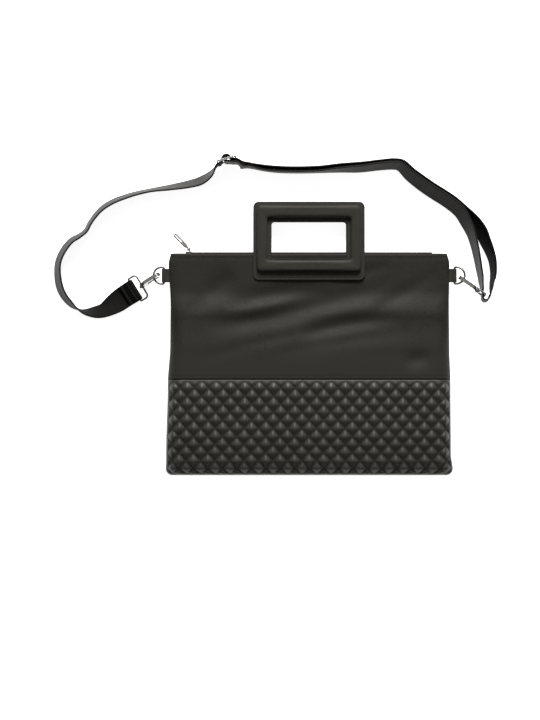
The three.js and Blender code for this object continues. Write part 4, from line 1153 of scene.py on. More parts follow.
class TALLIT_OT_sewing(bpy.types.Operator):
    """Rows of stitches on the handles' flanges, the band seam, the top edge and the quilting"""
    bl_idname = "tallit.sewing"
    bl_label = "Sewing"

    def execute(self, context):
        pouch = Pouch(context)
        sizes = pouch.sizes
        for side in ("front", "back"):
            handle = Handle(context, side)
            z = handle.level(handle.backing_base, GROOVE_OUT + sizes.thread * 0.2)
            rows = []
            for frame_box, offset, radius in (
                    (handle.outer, GROOVE_IN, handle.sizes.corner),
                    (handle.window, -GROOVE_IN, handle.sizes.inner_corner)):
                loop = frame_loop(frame_box, offset, radius)
                path = lifted(np.concatenate([loop, loop[:1]]), z)
                rows.append(stitch_row(path, handle.out * UP, sizes))
            put_piece(f"{side}_handle_stitches", *joined(rows), "thread")
        lines = []
        for y_line in (pouch.band_line + sizes.gap / 2 + BAND_STITCH, pouch.panel_top - HEM_STITCH):
            share = np.linspace(0.016, 0.984, 400)
            y = np.full_like(share, y_line)
            x, side_up = pouch.across(share, y, 0)
            spot = pouch.front(x, side_up, y, 1.0, 0, 0)
            spot[:, 2] += WAVES * wrinkles(x, y) * CALM_SHARE - 0.00024
            lines.append(stitch_row(spot, pouch.front_normal(x, y), sizes))
        put_piece("front_stitches", *joined(lines), "thread")
        self.quilting(pouch)
        return {"FINISHED"}

    def quilting(self, pouch):
        """Stitches in the creases: points a share of the way from one even corner of the
        diamonds to the next, both ways."""
        sizes = pouch.sizes
        across, down, top = quilt_count(pouch)
        i, j = np.meshgrid(np.arange(1, across - 1), np.arange(down - 1), indexing="ij")
        even = (i + j) % 2 == 0
        per = 5
        part = (np.arange(per) + 0.5) / per
        half = 0.30 / per

        def spots(shares_down):
            """Places on the quilting, so far down each crease that leans right, then left."""
            grids = []
            for step in (1, -1):
                ok = even & (i + step > 0) & (i + step < across)
                a, b = i[ok][:, None], j[ok][:, None]
                grids.append(np.stack([a + step * shares_down, b + shares_down], axis=-1))
            grid = np.concatenate(grids).reshape(-1, 2)
            y, end_up = pouch.down(grid[:, 1] / down, top, 0)
            return pouch.front_grid(grid[:, 0] / across, y, end_up, 0, sizes.puff * 0.04)

        a, b = spots(part - half), spots(part + half)
        x = (a[:, 0] + b[:, 0]) / 2
        normals = np.broadcast_to(UP, a.shape)
        keep = (np.abs(x) < pouch.half_width * 0.97) & (a[:, 1] > -pouch.half_height * 0.93)
        points, faces = stitches(a[keep], b[keep], normals[keep], sizes.thread * 0.8)
        put_piece("quilt_stitches", points, faces, "thread")


class TALLIT_OT_zip(bpy.types.Operator):
    """Woven zip tapes and moulded teeth"""
    bl_idname = "tallit.zip"
    bl_label = "Zip"

    def execute(self, context):
        sizes = context.scene.tallit_pouch
        for side, sign in (("front", 1), ("back", -1)):
            corner, far = low(f"zip_tape_{side}"), high(f"zip_tape_{side}")
            self.tape(f"{side}_zip_tape", corner, far, sign, f"zip_tape_{side}")
        self.teeth(low("zip_chain"), high("zip_chain"), sizes)
        return {"FINISHED"}

    def tape(self, name, corner, far, sign, node):
        """A strip bent over the mouth: a section of two arcs carried along the zip."""
        thick = 0.0009
        inner = corner[2] if sign > 0 else far[2]
        outer = far[2] if sign > 0 else corner[2]
        turn = 0.0012
        middle = np.concatenate([
            [[corner[1], outer - sign * thick / 2]],
            arc(far[1] - turn - thick / 2, 0, turn, 90, 0, 6) * [1, sign]
            + [0, outer - sign * (turn + thick / 2)],
            [[far[1] - thick / 2, inner + sign * 0.00005]]])
        ahead = unit(np.gradient(middle, axis=0))
        side = np.stack([-ahead[:, 1], ahead[:, 0]], axis=-1) * thick / 2
        outline = np.concatenate([middle + side, (middle - side)[::-1]])
        part = sweep(straight(np.linspace(corner[0], far[0], 120)), Y_AXIS, UP, outline)
        put_piece(name, *part, "zip tape", replaces=[node], slot="zip_tape")

    def teeth(self, corner, far, sizes):
        """Two rows of rounded teeth that mesh: ellipsoids of few faces at every half pitch."""
        count = int((far[0] - corner[0]) / sizes.tooth_pitch)
        x = corner[0] + (np.arange(count) + 0.5) * sizes.tooth_pitch
        rings, sides = 5, 8
        polar = np.linspace(0.12, math.pi - 0.12, rings)
        angle = np.arange(sides) * TURN / sides
        ball = np.stack([np.cos(polar)[:, None] + 0 * angle,
                         np.sin(polar)[:, None] * np.cos(angle),
                         np.sin(polar)[:, None] * np.sin(angle)], axis=-1)
        faces = list(map(tuple, grid_faces(rings, sides, False, True)))
        faces += [tuple(range(sides)), tuple(range((rings - 1) * sides, rings * sides))]
        middle = (corner + far) / 2
        wide = (far[2] - corner[2]) / 2
        places = []
        for sign, shift in ((1, 0.25), (-1, -0.25)):
            spot = np.stack([x + shift * sizes.tooth_pitch, np.full(count, middle[1]),
                             np.full(count, middle[2] + sign * wide * 0.36)], axis=-1)
            size = np.array([0.00062, 0.00074, wide * 0.62])
            places.append(spot[:, None, :] + (ball.reshape(-1, 3) * size)[None])
        points = np.concatenate(places)
        offsets = np.arange(len(points)) * rings * sides
        every = [tuple(np.array(face) + start) for start in offsets for face in faces]
        core = block((corner[0], corner[1] + 0.0001, middle[2] - wide * 0.8),
                     (far[0], far[1] - 0.0002, middle[2] + wide * 0.8))
        points, every = joined([(points.reshape(-1, 3), every), core])
        put_piece("zip_teeth", points, every, "zip tape", replaces=["zip_chain"], slot="zip_tape")


def slider_part(centre, sizes):
    """Arched slider body with a waist, in its own axes: X along the zip, Y out of the bag."""
    length_half, deep, wide = sizes
    rows, sides = 25, 28
    along = np.linspace(-1, 1, rows)
    swell = 1 - 0.10 * np.cos(along * math.pi) - 0.04
    end = np.sqrt(np.maximum(1 - np.abs(along) ** 6, 0)) * 0.92 + 0.08
    angle = np.arange(sides) * TURN / sides
    power = 0.55
    square = np.stack([np.sign(np.cos(angle)) * np.abs(np.cos(angle)) ** power,
                       np.sign(np.sin(angle)) * np.abs(np.sin(angle)) ** power], axis=-1)
    section = square[None] * np.stack([deep * end, wide * swell * end], axis=-1)[:, None, :]
    return sweep(straight(along * length_half) + centre, Y_AXIS, UP, section)


class TALLIT_OT_slider(bpy.types.Operator):
    """Nickel slider with its lugs and pin, and the slotted pull that swings on the pin"""
    bl_idname = "tallit.slider"
    bl_label = "Slider And Pull"

    def execute(self, context):
        corner, far = low("zip_slider"), high("zip_slider")
        chain_low, chain_high = low("zip_chain"), high("zip_chain")
        pin = np.array(joint("zip_pull_swing")["pos_m"])
        x = pin[0]
        deep = (chain_high[1] + 0.0015 - chain_low[1]) / 2
        centre = np.array([x, chain_low[1] + deep, pin[2]])
        body = slider_part(centre, ((far[0] - corner[0]) / 2, deep, (far[2] - corner[2]) / 2))
        face = centre[1] + deep
        parts = [body]
        for sign in (-1, 1):
            outline = np.concatenate([arc(0, pin[1] - face, 0.0017, -10, 190, 14),
                                      [[-0.0026, -0.0006], [0.0026, -0.0006]]])
            lug = plate(outline, None, 0.0011)
            spot = [x, face, pin[2] + sign * (0.0018 + 0.00055)]
            parts.append((lug[0] + spot, lug[1]))
        bolt = lathe([(-0.0032, 0), (-0.0032, 0.0008), (-0.0029, 0.0010), (-0.0029, 0.0007),
                      (0.0029, 0.0007), (0.0029, 0.0010), (0.0032, 0.0008), (0.0032, 0)], 16)
        parts.append(placed(bolt, pin, *ON_END))
        piece = put_piece("zip_slider_body", *joined(parts), "nickel", replaces=["zip_slider"],
                          slot="nickel")
        finish_with(piece, "BEVEL", width=0.00015, segments=2, limit_method="ANGLE")
        self.pull(pin)
        return {"FINISHED"}

    def pull(self, pin):
        """Slotted bar, in its own axes from the pin along X, turned about its length."""
        x_axis = heading(PULL_AZIMUTH)
        roll = math.radians(PULL_ROLL)
        flat = np.cross(UP, x_axis)
        wide = flat * math.sin(roll) + UP * math.cos(roll)
        thick = np.cross(x_axis, wide)
        radius, pull_length, slot_half = 0.0032, 0.026, 0.0015
        end = pull_length - radius
        outer = evenly(np.concatenate([
            [[0.0024, 0.0013], [0.0024, -0.0013], [0.0066, -radius]],
            arc(end, 0, radius, -90, 90, 16), [[0.0066, radius]]]), 0.0007)
        slot = np.concatenate([arc(end, 0, slot_half, -90, 90, 10),
                               arc(end - 0.009, 0, slot_half, 90, 270, 10)])
        hole = self.matched(outer, evenly(slot, 0.0003))
        bar = plate(outer, hole, 0.0014)
        knuckle = plate(circle(0.0019, 20), circle(0.0010, 20), 0.0030)
        neck = block((0.0012, -0.0009, -0.0011), (0.0040, 0.0009, 0.0011))
        parts = [placed(bar, pin, x_axis, wide, thick), placed(knuckle, pin, x_axis, flat, UP),
                 placed(neck, pin, x_axis, flat, UP)]
        # The pull is nickel painted darker, as painted shade
        piece = put_piece("zip_pull_bar", *joined(parts), "dull nickel", "pull", ["zip_pull"],
                          "nickel")
        finish_with(piece, "BEVEL", width=0.00025, segments=3, limit_method="ANGLE")

    def matched(self, outer, inner):
        """Points of the inner loop in the same directions as the outer's, seen from its middle."""
        middle = inner.mean(axis=0)
        turn = np.unwrap(np.arctan2(*(inner - middle).T[::-1]))
        order = np.argsort(np.mod(turn, TURN))
        angles = np.mod(turn, TURN)[order]
        wanted = np.mod(np.arctan2(*(outer - middle).T[::-1]), TURN)
        return np.stack([np.interp(wanted, angles, inner[order, k], period=TURN)
                         for k in range(2)], axis=-1)


class Clip:
    """Places of one side's ring, clip and gate, from the frame's joints and solids."""

    def __init__(self, context, side):
        self.side = side
        self.hardware = context.scene.tallit_hardware
        self.outward = -1 if side == "left" else 1
        swivel, hinge = joint(f"{side}_hook_swivel"), joint(f"{side}_gate_hinge")
        self.swivel = np.array(swivel["pos_m"])
        self.axis = unit(np.array(swivel["axis"], dtype=float))
        self.hinge_axis = unit(np.array(hinge["axis"], dtype=float))
        self.hook_up = np.cross(self.hinge_axis, self.axis)
        self.pivot = np.array(hinge["pos_m"])
        across = unit(np.cross(UP, self.axis))
        self.loop_long = across if side == "left" else np.cross(self.axis, across)
        ring_low, ring_high = low(f"{side}_d_ring"), high(f"{side}_d_ring")
        wire_radius = self.hardware.ring_wire
        bar = ring_high[0] - wire_radius if side == "left" else ring_low[0] + wire_radius
        level = context.scene.tallit_pouch.seam_level
        self.bar = np.array([bar, (ring_low[1] + ring_high[1]) / 2, level])
        tilt = math.radians(RING_TILT) if side == "right" else 0.0
        self.ring_out = np.array([self.outward * math.cos(tilt), 0, math.sin(tilt)])
        # The hook in its own axes: its shoulder, its gate's rivet, its nose and its mouth's end
        h = self.hardware
        self.axes = (self.axis, self.hook_up, self.hinge_axis)
        self.shoulder = h.collar_long / 2 + CLEAR
        self.inner = h.hook_half - h.hook_bar
        self.rivet = (self.shoulder + 0.0034, -(h.hook_half - 0.0022))
        self.nose = h.hook_long - h.hook_half
        self.mouth = self.nose - 0.0009


class TALLIT_OT_rings(bpy.types.Operator):
    """Dark wire D-rings and strap loops, with the collars that the hooks turn in"""
    bl_idname = "tallit.rings"
    bl_label = "Rings"

    def execute(self, context):
        for side in ("left", "right"):
            clip = Clip(context, side)
            h = clip.hardware
            bow = h.ring_tall / 2
            centre = h.ring_deep - bow
            small = 0.0020
            outline = evenly(np.concatenate([
                arc(small, -(bow - small), small, 180, 270, 8),
                arc(centre, 0, bow, -90, 90, 48),
                arc(small, bow - small, small, 90, 180, 8)]), 0.0006)
            path = clip.bar + outline[:, :1] * clip.ring_out + outline[:, 1:] * Y_AXIS
            ring = wire_loop(path, h.ring_wire, 18, np.cross(clip.ring_out, Y_AXIS))
            put_piece(f"{side}_d_ring_wire", *ring, "gunmetal", replaces=[f"{side}_d_ring"],
                      slot="gunmetal")
            self.loop(clip)
        return {"FINISHED"}

    def loop(self, clip):
        """Wire loop with tight corners at the strap and wide ones at the collar."""
        h = clip.hardware
        half = h.loop_wide / 2
        near, tight = 0.0042, 0.0016
        outline = evenly(np.concatenate([
            arc(-near, half - near, near, 0, 90, 12),
            arc(-h.loop_deep + tight, half - tight, tight, 90, 180, 8),
            arc(-h.loop_deep + tight, -half + tight, tight, 180, 270, 8),
            arc(-near, -half + near, near, 270, 360, 12)]), 0.0006)
        path = clip.swivel + outline[:, :1] * clip.axis + outline[:, 1:] * clip.loop_long
        normal = np.cross(clip.axis, clip.loop_long)
        loop = wire_loop(path, h.loop_wire, 16, normal)
        bore = 0.0019
        reach, radius = h.collar_long / 2, h.collar
        rows = np.array([(-reach, bore), (-reach, radius - 0.0005), (-reach + 0.0003, radius - 0.0001),
                         (-reach + 0.0009, radius), (-reach + 0.0013, radius - 0.0003),
                         (reach - 0.0013, radius - 0.0003), (reach - 0.0009, radius),
                         (reach - 0.0003, radius - 0.0001), (reach, radius - 0.0005), (reach, bore)])
        turn = np.arange(28) * TURN / 28
        ring = (np.cos(turn)[:, None] * clip.loop_long + np.sin(turn)[:, None] * normal)
        points = clip.swivel + rows[None, :, :1] * clip.axis + rows[None, :, 1:] * ring[:, None, :]
        collar = points.reshape(-1, 3), grid_faces(28, len(rows), True, True)
        piece = put_piece(f"{clip.side}_strap_loop", *joined([loop, collar]), "gunmetal",
                          replaces=[f"{clip.side}_strap_ring"], slot="gunmetal")
        sharpen(piece, 50)


def cut(piece, points, faces):
    """Cuts a closed form out of a piece and keeps the result."""
    mesh = bpy.data.meshes.new("cutter")
    mesh.from_pydata(np.asarray(points).tolist(), [], [list(face) for face in faces])
    cutter = bpy.data.objects.new("cutter", mesh)
    bpy.context.scene.collection.objects.link(cutter)
    turn_out(cutter)
    modifier = finish_with(piece, "BOOLEAN", object=cutter, operation="DIFFERENCE", solver="EXACT")
    result = applied(piece)
    piece.modifiers.remove(modifier)
    piece.data = result
    bpy.data.objects.remove(cutter)


class TALLIT_OT_hooks(bpy.types.Operator):
    """Cast nickel trigger hooks with their stems, and the sprung gates that close them"""
    bl_idname = "tallit.hooks"
    bl_label = "Hooks And Gates"

    def execute(self, context):
        for side in ("left", "right"):
            clip = Clip(context, side)
            self.hook(clip)
            self.gate(clip)
        return {"FINISHED"}

    def hook(self, clip):
        """The hook's flat outline with the gate's slot, a stem and a button behind the collar."""
        h = clip.hardware
        base, half, inner, nose = clip.shoulder, h.hook_half, clip.inner, clip.nose
        pivot_x, pivot_y = clip.rivet
        outline = np.concatenate([
            [[base, -0.0034]],
            arc(pivot_x, pivot_y, 0.0023, 190, 340, 12),
            [[base + 0.0058, -0.0016], [base + 0.0058, inner - 0.0014]],
            arc(base + 0.0072, inner - 0.0014, 0.0014, 180, 90, 5)[1:],
            arc(nose, 0, inner, 90, -90, 18),
            [[clip.mouth, -inner], [clip.mouth, -half]],
            arc(nose, 0, half, -90, 90, 26),
            [[base + 0.003, half], [base, 0.0042]]])
        part = placed(plate(outline, None, h.hook_thick), clip.swivel, *clip.axes)
        piece = put_piece(f"{clip.side}_trigger_hook", *part, "nickel",
                          f"{clip.side}_hook_body", [f"{clip.side}_hook"], "nickel")
        half_slot = h.gate_thick / 2 + CLEAR
        slot = lathe([(-half_slot, 0), (-half_slot, 0.0031), (half_slot, 0.0031),
                      (half_slot, 0)], 32)
        cut(piece, *self.at_rivet(slot, clip))
        sharpen(piece, 30)
        finish_with(piece, "BEVEL", width=0.0007, segments=3, limit_method="ANGLE",
                    angle_limit=math.radians(40))
        self.stem(clip)

    def at_rivet(self, part, clip):
        """Stands a lathed part on end where the gate's rivet goes through the hook."""
        points, faces = placed(part, (*clip.rivet, 0), *ON_END)
        return placed((points, faces), clip.swivel, *clip.axes)

    def stem(self, clip):
        """Turned parts: the stem through the collar with its button, and the gate's rivet."""
        h = clip.hardware
        base, back = clip.shoulder, -clip.shoulder
        stem = lathe([(back - 0.0013, 0), (back - 0.0013, 0.0021), (back - 0.0010, 0.0027),
                      (back - 0.0005, 0.0029), (back, 0.0026), (back, 0.0016),
                      (base - 0.0002, 0.0016), (base + 0.0006, 0.0024), (base + 0.0014, 0.0024),
                      (base + 0.0016, 0)], 28)
        half = h.hook_thick / 2
        rivet = lathe([(-half - 0.0003, 0), (-half - 0.0002, 0.0008), (-half + 0.0002, 0.0011),
                       (half - 0.0002, 0.0011), (half + 0.0002, 0.0008), (half + 0.0003, 0)], 18)
        parts = [placed(stem, clip.swivel, *clip.axes), self.at_rivet(rivet, clip)]
        piece = put_piece(f"{clip.side}_hook_stem", *joined(parts), "nickel",
                          f"{clip.side}_hook_body", slot="nickel")
        sharpen(piece, 40)

    def gate(self, clip):
        """The gate's outline with its thumb rest, from the rivet to the nose's tip."""
        pivot_x, pivot_y = clip.rivet
        reach = clip.mouth - CLEAR - pivot_x
        top, bottom = -clip.inner - pivot_y, -clip.hardware.hook_half - pivot_y + 0.0005
        outline = np.concatenate([
            [[reach, bottom], [reach, top]],
            arc(0, 0, 0.0019, 30, 240, 16),
            [[0.0026, bottom - 0.0007], [0.0036, bottom - 0.0009], [0.0050, bottom - 0.0006],
             [0.0062, bottom]]])
        part = placed(plate(outline, None, clip.hardware.gate_thick), clip.pivot, *clip.axes)
        # The gate is nickel painted darker, as painted shade
        piece = put_piece(f"{clip.side}_sprung_gate", *part, "dull nickel",
                          f"{clip.side}_gate_body", [f"{clip.side}_gate"], "nickel")
        finish_with(piece, "BEVEL", width=0.0005, segments=3, limit_method="ANGLE")


class TALLIT_OT_tabs(bpy.types.Operator):
    """Leather tabs: a strip folded round each D-ring's bar and sewn into the side seam"""
    bl_idname = "tallit.tabs"
    bl_label = "Side Tabs"

    def execute(self, context):
        sizes = context.scene.tallit_pouch
        for side in ("left", "right"):
            clip = Clip(context, side)
            h = clip.hardware
            out = clip.outward
            layer = h.tab_leather / 2
            radius = h.ring_wire + CLEAR + layer
            root = h.tab_reach + 0.0030
            rest = layer + 0.00005
            bend = arc(0, 0, radius, -125, 125, 26)
            line = np.concatenate([[[-root, -rest], [-h.tab_reach * 0.75, -rest],
                                    [-h.tab_reach * 0.6, -rest]], bend,
                                   [[-h.tab_reach * 0.6, rest], [-h.tab_reach * 0.75, rest],
                                    [-root, rest]]])
            line = evenly(line, 0.0005, closed=False)
            path = clip.bar + np.stack([out * line[:, 0], 0 * line[:, 0], line[:, 1]], axis=-1)
            ahead = unit(np.gradient(path, axis=0))
            half = h.tab_wide / 2
            section = evenly(round_box(-half, half, -layer, layer, 0.00045, 4), 0.0006)
            strip = sweep(path, Y_AXIS, np.cross(ahead, Y_AXIS), section)
            rows = []
            for sign in (1, -1):
                y = np.linspace(-half + 0.0015, half - 0.0015, 20)
                x = np.full_like(y, clip.bar[0] - out * h.tab_reach * 0.62)
                z = np.full_like(y, sizes.seam_level + sign * (h.tab_leather + 0.0001))
                row = np.stack([x, clip.bar[1] + y, z], axis=-1)
                rows.append(stitch_row(row, sign * UP, sizes, short=0.85))
            put_piece(f"{side}_tab_leather", *strip, "handle leather", replaces=[f"{side}_tab"])
            put_piece(f"{side}_tab_stitches", *joined(rows), "thread")
        return {"FINISHED"}


# Strap routes, row by row: x as a share of half the pouch's width, y as a share of the strap's
# reach above the rings, and the lean of the strap's width from the ground in degrees
LOOP_ROUTE = [
    (-1.461, -0.284, 46), (-1.536, -0.305, 58), (-1.596, -0.303, 74),
    (-1.65, -0.282, 91), (-1.703, -0.24, 105), (-1.754, -0.174, 110), (-1.789, -0.085, 113),
    (-1.803, 0.047, 112), (-1.793, 0.13, 112), (-1.757, 0.217, 112), (-1.704, 0.29, 110),
    (-1.646, 0.33, 107), (-1.602, 0.372, 107), (-1.568, 0.443, 107), (-1.5, 0.543, 108),
    (-1.421, 0.607, 108), (-1.286, 0.668, 106), (-1.143, 0.708, 104), (-1, 0.733, 109),
    (-0.857, 0.763, 115), (-0.776, 0.792, 117), (-0.702, 0.853, 108),
]
OUTER_ROUTE = [
    (-0.429, 0.926, 92), (-0.321, 0.903, 89), (-0.214, 0.891, 88), (-0.071, 0.888, 88),
    (0.071, 0.893, 87), (0.214, 0.905, 82), (0.357, 0.912, 78), (0.5, 0.931, 78),
    (0.593, 0.939, 77), (0.65, 0.928, 75), (0.721, 0.851, 70), (0.794, 0.784, 67),
    (0.866, 0.725, 66), (1.009, 0.617, 66), (1.081, 0.545, 66), (1.139, 0.485, 66),
    (1.183, 0.434, 67), (1.222, 0.367, 67), (1.249, 0.292, 70), (1.278, 0.214, 75),
    (1.301, 0.13, 80), (1.309, 0.03, 84), (1.302, -0.05, 87),
]
INNER_ROUTE = [
    (1.22, -0.028, 86), (1.206, 0.064, 84), (1.192, 0.155, 82), (1.175, 0.25, 80),
    (1.151, 0.35, 76), (1.116, 0.44, 70),
]
# Rows of the outer route beside which the inner strand lies
JOINED = 15
# Share of the folded back end that lies behind its fold, and the round of the strap's edges
SEWN_SHARE = 0.68
EDGE_ROUND = 0.0009


def curve_through(points, spots):
    """Smooth curve through points: between two of them a cubic whose slopes come from the
    neighbours, spaced by the square roots of their distances. Spots count points."""
    points = np.asarray(points)
    ends = np.concatenate([[2 * points[0] - points[1]], points, [2 * points[-1] - points[-2]]])
    index = np.clip(spots.astype(int), 0, len(points) - 2)
    part = (spots - index)[:, None]
    p0, p1, p2, p3 = (ends[index + k] for k in range(4))
    d0, d1, d2 = (np.sqrt(np.linalg.norm(b - a, axis=-1, keepdims=True))
                  for a, b in ((p0, p1), (p1, p2), (p2, p3)))
    d1 = np.where(d1 < 1e-4, 1.0, d1)
    d0 = np.where(d0 < 1e-4, d1, d0)
    d2 = np.where(d2 < 1e-4, d1, d2)
    start = ((p1 - p0) / d0 - (p2 - p0) / (d0 + d1) + (p2 - p1) / d1) * d1
    end = ((p2 - p1) / d1 - (p3 - p1) / (d1 + d2) + (p3 - p2) / d2) * d1
    return (p1 + start * part + (3 * (p2 - p1) - 2 * start - end) * part ** 2
            + (2 * (p1 - p2) + start + end) * part ** 3)


class StrapRoute:
    """The strap's stations from its sewn end at the left clip, over the slide, round the right
    clip and back under to the slide's middle bar."""

    def __init__(self, context):
        self.sizes = context.scene.tallit_strap
        self.pouch = context.scene.tallit_pouch
        self.hardware = context.scene.tallit_hardware
        self.left, self.right = Clip(context, "left"), Clip(context, "right")
        self.level = self.left.bar[1]
        self.turn = self.hardware.loop_wire + self.pouch.gap + self.sizes.thickness / 2
        self.slide_middle = (low("strap_slide") + high("strap_slide")) / 2
        self.slide_along = heading(SLIDE_AZIMUTH)
        self.slide_out = np.cross(UP, self.slide_along)

    def route(self, rows):
        """Places and width directions of a route's rows, rested on the ground."""
        rows = np.array(rows)
        places = np.column_stack([rows[:, 0] * self.pouch.width / 2,
                                  self.level + rows[:, 1] * self.sizes.reach, 0 * rows[:, 0]])
        before = places[np.maximum(np.arange(len(rows)) - 1, 0)]
        after = places[np.minimum(np.arange(len(rows)) + 1, len(rows) - 1)]
        out = np.cross(UP, unit(after - before))
        lean = np.radians(rows[:, 2:])
        widths = out * np.cos(lean) + UP * np.sin(lean)
        places[:, 2] = (self.sizes.width / 2 * np.abs(widths[:, 2])
                        + self.sizes.thickness / 2 * np.hypot(widths[:, 0], widths[:, 1]))
        return places, widths

    def fold(self, clip):
        """Place where the strap folds round the far bar of a clip's loop."""
        return clip.swivel - clip.axis * self.hardware.loop_deep

    def left_end(self):
        """From the sewn tail's tip round the left loop's bar and out again over it."""
        fold = self.fold(self.left)
        level = unit(self.left.axis * [1, 1, 0])
        rest = self.sizes.thickness / 2
        tail = rest + self.sizes.thickness + self.pouch.gap
        back = self.sizes.fold_back
        rows = [(back * SEWN_SHARE, tail), (back * 0.45, tail + 0.0001),
                (back * 0.22, fold[2] + self.turn * 0.8)]
        for angle in np.radians([90, 45, 0, -45, -90]):
            rows.append((-self.turn * math.cos(angle), fold[2] + self.turn * math.sin(angle)))
        rows += [(back * 0.3, rest), (back * 0.7, rest)]
        places = np.array([[*(fold - level * away)[:2], z] for away, z in rows])
        return places, np.tile(-self.left.loop_long, (len(rows), 1))

    def slide(self, rows):
        """Places and widths at the slide: shares of its half length along, metres out of it."""
        rows = np.array(rows)
        places = (self.slide_middle + rows[:, :1] * self.hardware.slide_long / 2 * self.slide_along
                  + rows[:, 1:] * self.slide_out)
        return places, np.tile(UP, (len(rows), 1))

    def right_bend(self):
        """Round the far bar of the right clip's loop, from outside to inside."""
        fold = self.fold(self.right)
        bend = self.turn + 0.0012
        rows = [(bend + 0.0045, 0.006, 0.0002), (bend + 0.0026, 0, 0)]
        for angle in np.radians([-20, -60, -100, -140, -180]):
            rows.append((0.0009 + bend * math.cos(angle), -0.003 + bend * math.sin(angle), 0))
        rows += [(-self.turn - 0.0002, 0.001, 0), (-self.turn, 0.006, 0)]
        return fold + np.array(rows), np.tile(self.right.loop_long, (len(rows), 1))

    def stations(self):
        """All the strap's places and width directions, in order from its sewn end."""
        thick, gap = self.sizes.thickness, self.sizes.strand_gap
        layer = self.turn
        hump = layer + 2 * self.pouch.gap + thick
        over = self.slide([
            (-1, -layer - 0.0004), (-0.82, -layer), (-0.66, -layer * 0.6),
            (-0.52, layer * 0.12), (-0.42, layer * 0.8), (-0.28, hump * 0.77), (0, hump * 1.01),
            (0.3, hump * 0.75), (0.44, layer * 0.69), (0.55, -layer * 0.08), (0.68, -layer * 0.73),
            (0.84, -layer), (1, -layer - 0.0004), (1.45, -layer - 0.0056)])
        turns = [(layer * math.cos(a) * 2 / self.hardware.slide_long, layer * math.sin(a))
                 for a in np.radians([-90, -135, -180, -225, -270])]
        under = self.slide([
            (1.45, -layer - 0.0070 - thick - gap), (1, -layer - thick - gap - 0.0008),
            (0.84, -hump - 0.0003), (0.66, -hump), (0.46, -hump * 0.8), (0.25, -hump * 0.59),
            (0.1, -layer), *turns, (0.1, layer)])
        outer = self.route(OUTER_ROUTE)
        inner = self.route(INNER_ROUTE[::-1])
        inner = (inner[0][::-1], inner[1][::-1])
        chain = np.concatenate([over[0][-1:], outer[0]])
        along = unit((chain[2:] - chain[:-2]) * [1, 1, 0])[:JOINED]
        through = unit(np.cross(along, outer[1][:JOINED]))
        spread = np.radians(np.interp(np.arange(JOINED), [0, 1, 4, 7], [0, 5, 5, 0]))[:, None]
        opened = outer[1][:JOINED] * np.cos(spread) + through * np.sin(spread)
        apart = thick + gap * (1 - spread * 7)
        beside = (outer[0][:JOINED] + through * apart
                  + (opened - outer[1][:JOINED]) * self.sizes.width / 2, opened)
        beside = (beside[0][::-1], beside[1][::-1])
        parts = [self.left_end(), self.route(LOOP_ROUTE), over, outer, self.right_bend(),
                 inner, beside, under]
        return tuple(np.concatenate([part[k] for part in parts]) for k in range(2))

    def sections(self, step):
        """Fine sections: places, directions of the width and through the thickness."""
        places, widths = self.stations()
        spans = np.diff(run_along(places))
        counts = np.maximum(np.round(spans / step).astype(int), 1)
        spots = np.concatenate([i + np.arange(n) / n for i, n in enumerate(counts)]
                               + [[len(places) - 1.0]])
        middle = curve_through(places, spots)
        wide = unit(curve_through(widths, spots))
        along = unit(np.gradient(middle, axis=0))
        through = unit(np.cross(along, wide))
        wide = np.cross(through, along)
        dip = (self.sizes.width / 2 * np.abs(wide[:, 2])
               + self.sizes.thickness / 2 * np.abs(through[:, 2]))
        middle[:, 2] = np.maximum(middle[:, 2], dip)
        return middle, wide, through


class TALLIT_OT_strap(bpy.types.Operator):
    """Shoulder strap: one long strip with rounded edges, grey on its face, ribbed on its back"""
    bl_idname = "tallit.strap"
    bl_label = "Strap"

    def execute(self, context):
        route = StrapRoute(context)
        sizes = route.sizes
        middle, wide, through = route.sections(0.0016)
        half, thick = sizes.width / 2, sizes.thickness / 2
        flat = half - EDGE_ROUND
        across = np.linspace(-1, 1, 13)[1:-1] * flat
        edge = arc(0, 0, 1, -90, 90, 6) * [EDGE_ROUND, thick]
        section = np.concatenate([lifted(across, -thick), edge + [flat, 0],
                                  lifted(across[::-1], thick), -edge - [flat, 0]])
        piece = put_piece("shoulder_strap", *sweep(middle, wide, through, section),
                          "strap leather", slot="strap_leather",
                          replaces=["strap_loop", "strap_outer", "strap_inner"])
        run = run_along(middle)
        folded = sizes.fold_back * SEWN_SHARE + math.pi * route.turn
        reverse = smooth_step((section[:, 1] / thick - 0.1) / 0.6)
        turned = 1 - smooth_step((run - folded) / 0.004)
        side = np.maximum(reverse[None, :], turned[:, None])
        self.paint(piece, run, section, side)
        self.stitch(route, middle, wide, through, run)
        return {"FINISHED"}

    def paint(self, piece, run, section, side):
        """Stores how far along and across each corner lies, and which side it is on."""
        mesh = piece.data
        rows, columns = side.shape
        across = np.broadcast_to(section[:, 0], (rows, columns))
        along = np.broadcast_to(run[:, None], (rows, columns))
        corner = np.empty(len(mesh.loops), dtype=np.int32)
        mesh.loops.foreach_get("vertex_index", corner)
        flat = np.stack([along.ravel(), across.ravel()], axis=-1)
        layer = mesh.uv_layers.new(name="strap")
        layer.data.foreach_set("uv", flat[corner].astype(np.float32).ravel())
        mark = mesh.attributes.new("side", "FLOAT", "POINT")
        mark.data.foreach_set("value", side.astype(np.float32).ravel())

    def stitch(self, route, middle, wide, through, run):
        """Two stitch rows across the sewn end, on its outer face."""
        sizes = route.sizes
        across = np.linspace(-0.5, 0.5, 24)[:, None] * (sizes.width - 0.004)
        rows = []
        for share in (0.12, 0.52):
            k = int(np.searchsorted(run, sizes.fold_back * share))
            path = middle[k] + across * wide[k] - through[k] * sizes.thickness / 2
            rows.append(stitch_row(path, -through[k], route.pouch, short=0.8, thick=1.1))
        put_piece("strap_stitches", *joined(rows), "thread", slot="strap_leather")


